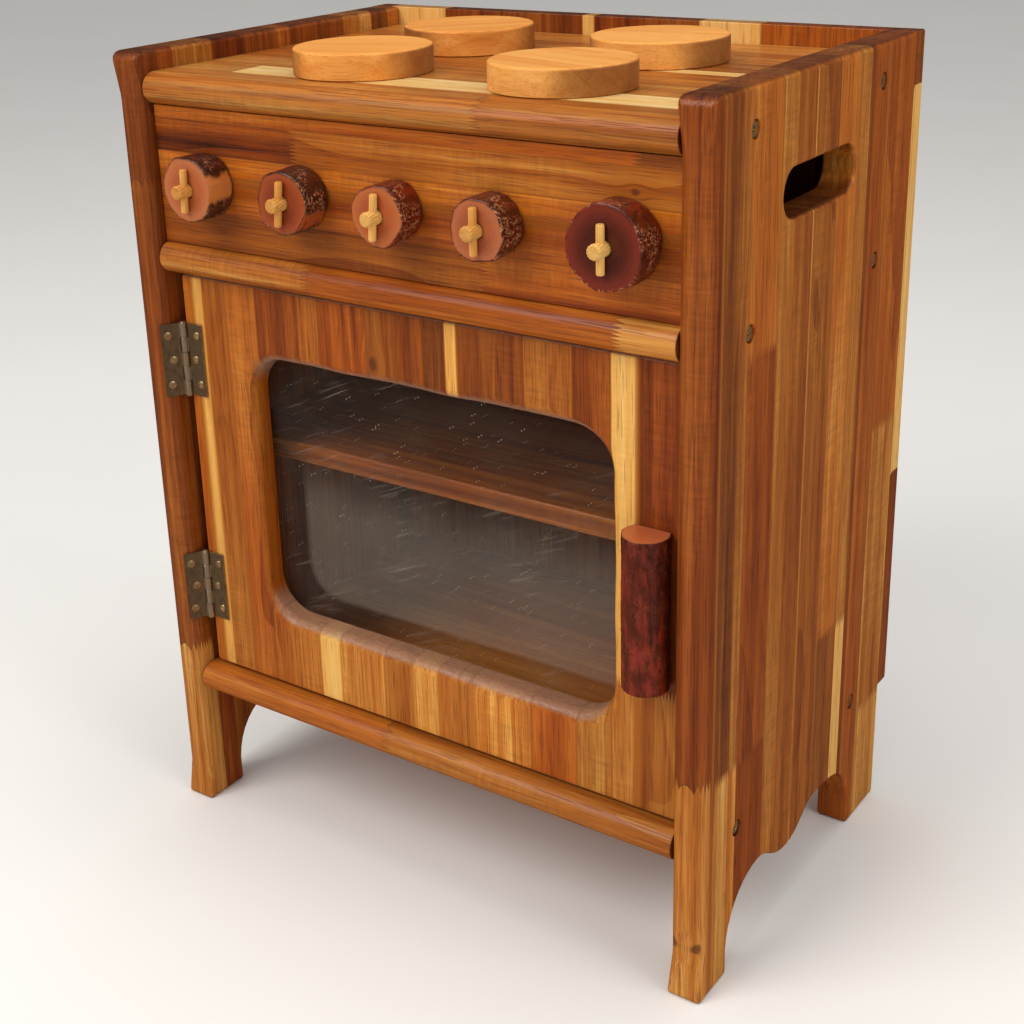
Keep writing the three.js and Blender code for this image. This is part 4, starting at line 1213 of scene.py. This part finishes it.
# %% Dowel tree
def dowel_tree():
    net, take, give = new_group("dowel", "GeometryNodeTree", {
        "Radius": ("Float", 4.5 * MM), "Length": ("Float", 40 * MM), "Flutes": ("Float", 14.0),
        "Depth": ("Float", 0.07), "Twist": ("Float", 60.0), "Chamfer": ("Float", 1.0 * MM),
        "Material": ("Material", None)}, SHAPE)
    mesh = net.first("GeometryNodeMeshCylinder", {"Vertices": 112, "Side Segments": 48, "Fill Segments": 5,
                                                  "Radius": take["Radius"], "Depth": take["Length"]},
                     fill_type="TRIANGLE_FAN")
    x, y, z = net.xyz(net.first("GeometryNodeInputPosition"))
    share = net.math("DIVIDE", net.vector("LENGTH", net.join(x, y, 0)), take["Radius"])
    angle = net.math("ADD", net.math("ARCTAN2", y, x), net.math("MULTIPLY", z, take["Twist"]))
    wave = net.math("COSINE", net.math("MULTIPLY", angle, take["Flutes"]))
    wave = net.math("MULTIPLY_ADD", wave, 0.5, 0.5)
    wave = net.math("MULTIPLY", net.math("MULTIPLY", wave, take["Depth"]), share)
    to_end = net.math("SUBTRACT", net.math("MULTIPLY", take["Length"], 0.5), net.math("ABSOLUTE", z))
    ending = net.math("SUBTRACT", 1.0, net.math("DIVIDE", to_end, take["Chamfer"]), clamp=True)
    ending = net.math("MULTIPLY", net.math("MULTIPLY", ending, ending), 0.16)
    factor = net.math("SUBTRACT", net.math("SUBTRACT", 1.0, wave), ending)
    moved = net.join(net.math("MULTIPLY", x, factor), net.math("MULTIPLY", y, factor), z)
    geometry = net.first("GeometryNodeSetPosition", {"Geometry": mesh, "Position": moved})
    return ended(net, take, give, geometry)


DOWEL = dowel_tree()
print("dowel tree:", len(DOWEL.nodes), "nodes")

# %% Make the dowels and pins
FLUTES, FLUTE_DEPTH = 14.0, 0.07      # how many, and their depth as a share of the radius
BEECH_TONES = [0.80, 0.83, 0.89, 0.85, 0.91]


def make_rod(node, name, direction, length, radius, flutes, material):
    """A dowel that fills its CAD node's box, along direction."""
    low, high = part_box(node)
    turn = direction.to_track_quat("Z", "X").to_matrix().to_4x4()
    piece = grow(name, DOWEL, {"Radius": radius, "Length": length, "Flutes": flutes,
                               "Depth": FLUTE_DEPTH if flutes else 0.0, "Material": material},
                 Matrix.Translation((low + high) / 2) @ turn)
    piece.data.set_sharp_from_angle(angle=SHARP_ANGLE)
    return stands_for(piece, node)


def pin_direction(node):
    """The direction of a pin that lies across the view and leans a little, from its box."""
    low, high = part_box(node)
    height = high.z - low.z
    lean = math.asin(min(1.0, max(0.0, (high.x - low.x - (high.y - low.y)) / height)))
    return Vector((math.sin(lean), 0, math.cos(lean)))


def beech(name, node, seed, grain_axes, tone):
    low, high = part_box(node)
    return plain_wood(name, (low + high) / 2, 0.0, tone, seed, 0.5, grain_axes, 0.2, 0.25)


for number, tone in enumerate(BEECH_TONES, 1):
    dowel, pin = f"knob_dowel_{number}", f"knob_cross_pin_{number}"
    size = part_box(dowel)[1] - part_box(dowel)[0]
    make_rod(dowel, f"knob_{number}_dowel", Vector((0, -1, 0)), size.y, size.x / 2, FLUTES,
             beech(f"beech_{number}", dowel, number * 0.17, "xzy", tone))
    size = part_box(pin)[1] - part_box(pin)[0]
    make_rod(pin, f"knob_{number}_pin", pin_direction(pin), size.z, size.y / 2, 0.0,
             beech(f"beech_pin_{number}", pin, number * 0.29, "xyz", tone))
print("dowels and pins:", 2 * len(BEECH_TONES))

# %% [markdown]
# ## Metal
# Hinges are dull nickel plate, bolts and screws are yellow passivated steel. A plain metallic colour
# would look new. Real plating has a faint brushing, and stains that are duller than the rest, so one
# group makes both for the two metals, and each material adds its own colours.

# %% Node group: worn metal
def worn_metal_group():
    net, take, give = new_group(
        "worn_metal", "ShaderNodeTree",
        {"Place": ("Vector", None), "Clean": ("Color", (0.5, 0.5, 0.48, 1)),
         "Stain": ("Color", (0.2, 0.17, 0.12, 1)), "Amount": ("Float", 0.5)},
        {"Color": ("Color", None), "Roughness": ("Float", None), "Height": ("Float", None)})
    stain = net.noise(take["Place"], (320, 320, 200), 3, 0.6)
    brushed = net.noise(take["Place"], (2600, 2600, 60), 1)
    mask = net.math("MULTIPLY", net.step(stain, 0.40, 0.68), take["Amount"])
    net.put(give.inputs["Color"], net.mix(mask, take["Clean"], take["Stain"]))
    rough = net.math("MULTIPLY_ADD", mask, 0.25, 0.26)
    net.put(give.inputs["Roughness"], net.math("MULTIPLY_ADD", brushed, 0.14, rough))
    net.put(give.inputs["Height"], net.math("MULTIPLY_ADD", brushed, 0.5, stain))
    return net.tree


WORN_METAL = worn_metal_group()


def metal(name, clean, stain, amount, rubbed=None):
    """Worn metal; rubbed is a lighter colour near the hinges' common axis."""
    material, net, shader = new_material(name, {"Metallic": 1.0})
    place = net.add("ShaderNodeTexCoord").outputs["Object"]
    worn = net.group(WORN_METAL, {"Place": place, "Clean": (*clean, 1), "Stain": (*stain, 1),
                                  "Amount": amount})
    color = worn["Color"]
    if rubbed:
        hinge_low, hinge_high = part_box("upper_hinge_pin")
        across = net.vector("SUBTRACT", place, (hinge_low + hinge_high) / 2)
        near = net.vector("LENGTH", net.vector("MULTIPLY", across, (1, 1, 0)))
        color = net.mix(net.step(near, 2.4 * MM, 3.0 * MM, 1.0, 0.0), color, rubbed)
    net.put(shader.inputs["Base Color"], color)
    net.put(shader.inputs["Roughness"], worn["Roughness"])
    bump(net, shader, worn["Height"], 0.05 * MM)
    return material


NICKEL = metal("dull_nickel", (0.43, 0.35, 0.25), (0.24, 0.18, 0.11), 0.7, (0.85, 0.77, 0.64))
YELLOW_STEEL = metal("yellow_steel", (0.92, 0.76, 0.50), (0.60, 0.42, 0.22), 0.6)
print("metals:", NICKEL.name, "and", YELLOW_STEEL.name)

# %% [markdown]
# ## Small parts from their CAD shape
# Hinge leaves, pins, bolts and the strike plate already have the right shape, and modelling them again
# could only move them. But their edges are knife-sharp, and no real edge is: light always finds a thin
# bright line there. So a copy of each gets its loose triangles merged, flat areas joined, a fine bevel
# and smooth shading.

# %% Finished copies
def finished_copy(node, material, edge=0.15 * MM):
    mesh = frame["nodes"][node].data.copy()
    shape = bmesh.new()
    shape.from_mesh(mesh)
    bmesh.ops.remove_doubles(shape, verts=shape.verts, dist=TOUCHING)
    bmesh.ops.dissolve_limit(shape, angle_limit=math.radians(1), verts=shape.verts, edges=shape.edges)
    for face in shape.faces:
        face.smooth = True
    shape.to_mesh(mesh)
    shape.free()
    mesh.materials.clear()
    mesh.materials.append(material)
    return stands_for(finished(bpy.data.objects.new(node + "_part", mesh), edge), node)


for height in ("upper", "lower"):
    for part in ("frame_leaf", "door_leaf", "pin"):
        finished_copy(f"{height}_hinge_{part}", NICKEL)
BOLT_NODES = [f"{side}_screw_{i}" for side in ("left", "right") for i in range(1, 7)]
SCREW_NODES = [f"pane_screw_{i}" for i in range(1, 5)] + ["handle_screw_1", "handle_screw_2"]
for node in BOLT_NODES + SCREW_NODES:
    finished_copy(node, YELLOW_STEEL)
finished_copy("strike_plate", NICKEL)
print("metal copies:", 7 + len(BOLT_NODES + SCREW_NODES))

# %% [markdown]
# ## Cleats and catch
# Inside the oven two strips of wood carry the shelf, and a moulded catch with a magnet keeps the door
# shut. Both are boxes with eased edges, so the same finish as for the metal does, only with a wider
# bevel. The catch has a fine moulded grain that its material makes.

# %% Cleats and catch
for side in ("left", "right"):
    node = f"shelf_cleat_{side}"
    cleat_low, cleat_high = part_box(node)
    cleat_wood = plain_wood(node + "_wood", (cleat_low + cleat_high) / 2, 0.0, 0.58, 0.4, 0.8, "xzy")
    finished_copy(node, cleat_wood, 0.6 * MM)


def catch_plastic():
    material, net, shader = new_material("brown_plastic", {"Specular IOR Level": 0.5})
    place = net.add("ShaderNodeTexCoord").outputs["Object"]
    grain = net.noise(place, (900, 900, 900), 2)
    net.put(shader.inputs["Base Color"], net.mix(grain, (0.05, 0.028, 0.016), (0.085, 0.05, 0.03)))
    net.put(shader.inputs["Roughness"], net.math("MULTIPLY_ADD", grain, 0.2, 0.35))
    bump(net, shader, grain, 0.04 * MM)
    return material


finished_copy("magnet_catch", catch_plastic(), 0.4 * MM)
print("cleats: 2, catches: 1")

# %% [markdown]
# ## Window pane
# The pane is clear acrylic that has been cleaned with a cloth many times: fine scratches, smears and
# dust. A pale, milky veil over it, thicker low down, is a painted reflection. Transmission would be true
# to the material, but on a thin flat sheet it changes nothing that can be seen. Alpha is cheaper: the
# pane shows as itself where alpha is high and lets the oven show elsewhere.

# %% Make the pane
# Where the painted reflection on the pane rounds its corner.
REFLECTION_CORNER = 26 * MM


def pane_acrylic():
    material, net, shader = new_material("scratched_acrylic", {"IOR": 1.6})
    place = net.add("ShaderNodeTexCoord").outputs["Object"]
    low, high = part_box("window_pane")
    size = high - low
    x, y, z = net.xyz(place)
    # Painted reflection: a pale veil, strong low down and gone above, stands in for light mirrored there.
    reflection_fade = net.step(z, low.z + 0.40 * size.z, low.z + 0.62 * size.z, 1.0, 0.0)
    # The painted reflection stops in a rounded corner and leaves a clear band along the left and bottom.
    corner = net.join(net.math("SUBTRACT", low.x + 0.21 * size.x, x),
                      net.math("SUBTRACT", low.z + 0.25 * size.z, z), 0)
    outside = net.vector("LENGTH", net.vector("MAXIMUM", corner, (0, 0, 0)))
    reflection_edge = net.step(outside, REFLECTION_CORNER - 2 * MM, REFLECTION_CORNER, 1.0, 0.0)
    painted_reflection = net.math("MULTIPLY", reflection_fade, reflection_edge)
    slanted = net.first("ShaderNodeMapping", {"Vector": place, "Rotation": (0, math.radians(24), 0)})
    scratch = net.step(net.noise(slanted, (22, 1, 900), 2), 0.57, 0.70)
    crossed = net.first("ShaderNodeMapping", {"Vector": place, "Rotation": (0, math.radians(-37), 0)})
    scratch = net.math("MAXIMUM", scratch, net.step(net.noise(crossed, (18, 1, 1200), 2), 0.61, 0.72))
    where = net.step(net.noise(place, (16, 1, 22), 3), 0.44, 0.64)
    scratch = net.math("MULTIPLY", scratch, where)
    smear = net.noise(place, (14, 1, 26), 3, 0.6)
    dust = net.step(net.noise(place, (700, 1, 700), 0), 0.79, 0.83)
    alpha = net.math("MULTIPLY_ADD", painted_reflection, 0.09, 0.008)
    alpha = net.math("MULTIPLY_ADD", smear, 0.03, alpha)
    alpha = net.math("MULTIPLY_ADD", scratch, 0.15, alpha)
    alpha = net.math("MULTIPLY_ADD", dust, 0.6, alpha, clamp=True)
    net.put(shader.inputs["Base Color"], net.mix(smear, (0.36, 0.29, 0.23), (0.47, 0.40, 0.34)))
    net.put(shader.inputs["Roughness"], net.math("MULTIPLY_ADD", smear, 0.25, 0.10))
    net.put(shader.inputs["Alpha"], alpha)
    bump(net, shader, scratch, 0.05 * MM)
    return material


pane = finished_copy("window_pane", pane_acrylic(), 0.3 * MM)
print("pane:", len(pane.data.polygons), "faces")

# %% [markdown]
# ## Hinge screws and back screws
# Small cross-head screws hold the hinges and the back panel. They are all alike and lie on a line or
# round a rim, which is a rule, so Geometry Nodes place them instead of a list, and turn each cross at
# random. A head is a domed disc with two crossed slots cut out. The hinge tree puts three on a leaf,
# with the middle one closer to the knuckle, and the back tree spreads them round the back's rim.

# %% Screw trees
SCREW_INPUTS = {"Head": ("Float", 2.6 * MM), "Seed": ("Int", 1), "Material": ("Material", None)}
HEAD_DEPTH, DOME_HEIGHT = 0.9 * MM, 0.55 * MM
SLOT_LENGTH, SLOT_WIDTH = 1.15, 0.3      # shares of the head's radius
SLOT_CUTTER, SLOT_LIFT = 1.6 * MM, 1.0 * MM


def screw_head(net, take):
    """The geometry of one head that looks along +Z, its rim at height 0."""
    disc = net.first("GeometryNodeMeshCylinder", {"Vertices": 32, "Side Segments": 1, "Fill Segments": 5,
                                                  "Radius": take["Head"], "Depth": HEAD_DEPTH},
                     fill_type="TRIANGLE_FAN")
    x, y, z = net.xyz(net.first("GeometryNodeInputPosition"))
    share = net.math("DIVIDE", net.vector("LENGTH", net.join(x, y, 0)), take["Head"])
    dome = net.math("MULTIPLY", net.math("SUBTRACT", 1.0, net.math("MULTIPLY", share, share)),
                    DOME_HEIGHT)
    dome = net.math("MULTIPLY", dome, net.math("GREATER_THAN", z, 0.0))
    disc = net.first("GeometryNodeSetPosition", {"Geometry": disc, "Offset": net.join(0, 0, dome)})
    long = net.math("MULTIPLY", take["Head"], SLOT_LENGTH)
    short = net.math("MULTIPLY", take["Head"], SLOT_WIDTH)
    cut = net.add("GeometryNodeMeshBoolean", {"Mesh 1": disc}, operation="DIFFERENCE", solver="EXACT")
    for size in ((long, short), (short, long)):
        cutter = net.first("GeometryNodeMeshCube", {"Size": net.join(*size, SLOT_CUTTER)})
        cutter = net.first("GeometryNodeTransform", {"Geometry": cutter, "Translation": (0, 0, SLOT_LIFT)})
        net.put(cut.inputs["Mesh 2"], cutter)
    return cut.outputs[0]


def screws_on(net, take, give, points, facing):
    """Puts a head on each point, looking along facing, with its slots turned at random."""
    spin = net.add("FunctionNodeRandomValue", {"Seed": take["Seed"]}, data_type="FLOAT").outputs[1]
    spin = net.math("MULTIPLY", spin, math.pi / 2)
    turned = net.first("FunctionNodeRotateEuler", {"Rotation": net.join(0, 0, spin), "Rotate By": facing},
                       rotation_type="EULER", space="OBJECT")
    made = net.first("GeometryNodeInstanceOnPoints", {"Points": points, "Instance": screw_head(net, take),
                                                      "Rotation": turned})
    made = net.first("GeometryNodeRealizeInstances", [made])
    made = net.first("GeometryNodeSetMaterial", {"Geometry": made, "Material": take["Material"]})
    net.put(give.inputs[0], made)
    return net.tree


FACE_FRONT = (math.radians(90), 0, 0)
FACE_BACK = (math.radians(-90), 0, 0)


def hinge_screw_tree():
    net, take, give = new_group("hinge_screws", "GeometryNodeTree", {
        **SCREW_INPUTS, "Pitch": ("Float", 17 * MM), "Outer": ("Float", 10.5 * MM),
        "Inner": ("Float", 8 * MM)}, SHAPE)
    start = net.join(take["Outer"], 0, net.math("MULTIPLY", take["Pitch"], -1.0))
    line = net.first("GeometryNodeMeshLine", {"Count": 3, "Start Location": start,
                                              "Offset": net.join(0, 0, take["Pitch"])})
    index = net.first("GeometryNodeInputIndex")
    middle = net.add("FunctionNodeCompare", data_type="INT", operation="EQUAL")
    net.put(middle.inputs[2], index)
    middle.inputs[3].default_value = 1
    back = net.math("SUBTRACT", take["Inner"], take["Outer"])
    line = net.first("GeometryNodeSetPosition", {"Geometry": line, "Selection": middle.outputs[0],
                                                 "Offset": net.join(back, 0, 0)})
    return screws_on(net, take, give, line, FACE_FRONT)


def back_screw_tree():
    net, take, give = new_group("back_screws", "GeometryNodeTree", {
        **SCREW_INPUTS, "Width": ("Float", 0.4), "Height": ("Float", 0.43), "Count": ("Int", 14)}, SHAPE)
    rim = net.first("GeometryNodeCurvePrimitiveQuadrilateral",
                    {"Width": take["Width"], "Height": take["Height"]})
    rim = net.first("GeometryNodeTransform", {"Geometry": rim, "Rotation": FACE_FRONT})
    rim = net.first("GeometryNodeResampleCurve", {"Curve": rim, "Count": take["Count"]})
    points = net.first("GeometryNodeCurveToPoints", {"Curve": rim}, mode="EVALUATED")
    return screws_on(net, take, give, points, FACE_BACK)


HINGE_SCREWS, BACK_SCREWS = hinge_screw_tree(), back_screw_tree()
print("screw trees:", len(HINGE_SCREWS.nodes), "and", len(BACK_SCREWS.nodes), "nodes")

# %% [markdown]
# ## Screws in their leaves
# Each hinge has a leaf on the door and one on the side panel's edge, and the second one is turned away
# from the first. Screws could be placed one by one, but a row per leaf needs only the hinge's axis,
# which the frame has, and the leaf's turn. Rows on the same body become one mesh, because they move
# together.

# %% Place the screws
HINGE_CENTRES = [sum(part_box(f"{height}_hinge_pin"), Vector()) / 2 for height in ("upper", "lower")]
FRAME_LEAF_TURN = math.radians(58 - 180)
LEAF_FACE = 1.1 * MM             # from the knuckle's axis to the outer face of a leaf
BACK_INSET = 11 * MM             # from the back panel's rim to its screws
BACK_HEAD = 3.4 * MM
BACK_SUNK = 0.3 * MM             # how deep a back screw's head is sunk


def merged(name, pieces):
    """Joins several grown pieces into one mesh."""
    joined = bmesh.new()
    for piece in pieces:
        joined.from_mesh(piece.data)
    mesh = pieces[0].data.copy()
    joined.to_mesh(mesh)
    joined.free()
    for piece in pieces:
        bpy.data.objects.remove(piece)
    result = bpy.data.objects.new(name, mesh)
    bpy.context.scene.collection.objects.link(result)
    return result


def leaf_screws(body, places):
    grown = [grow(f"row_{i}", HINGE_SCREWS, {"Seed": 5 + i, "Material": YELLOW_STEEL}, place)
             for i, place in enumerate(places)]
    screws = merged(f"{body}_hinge_screws", grown)
    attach(screws, body)
    print(screws.name, len(screws.data.polygons), "faces")


flip = Matrix.Rotation(math.pi, 4, "X")
leaf_screws("door", [Matrix.Translation(c + Vector((0, LEAF_FACE, 0))) for c in HINGE_CENTRES])
leaf_screws("carcass", [Matrix.Translation(c) @ Matrix.Rotation(FRAME_LEAF_TURN, 4, "Z")
                        @ Matrix.Translation((0, -LEAF_FACE, 0)) @ flip for c in HINGE_CENTRES])
back_low, back_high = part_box("back_panel")
back_middle = (back_low + back_high) / 2
back_screws = grow("back_panel_screws", BACK_SCREWS, {
    "Width": back_high.x - back_low.x - 2 * BACK_INSET,
    "Height": back_high.z - back_low.z - 2 * BACK_INSET,
    "Head": BACK_HEAD, "Material": YELLOW_STEEL,
}, Matrix.Translation((back_middle.x, back_high.y - BACK_SUNK, back_middle.z)))
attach(back_screws, "carcass")

# %% [markdown]
# ## The end
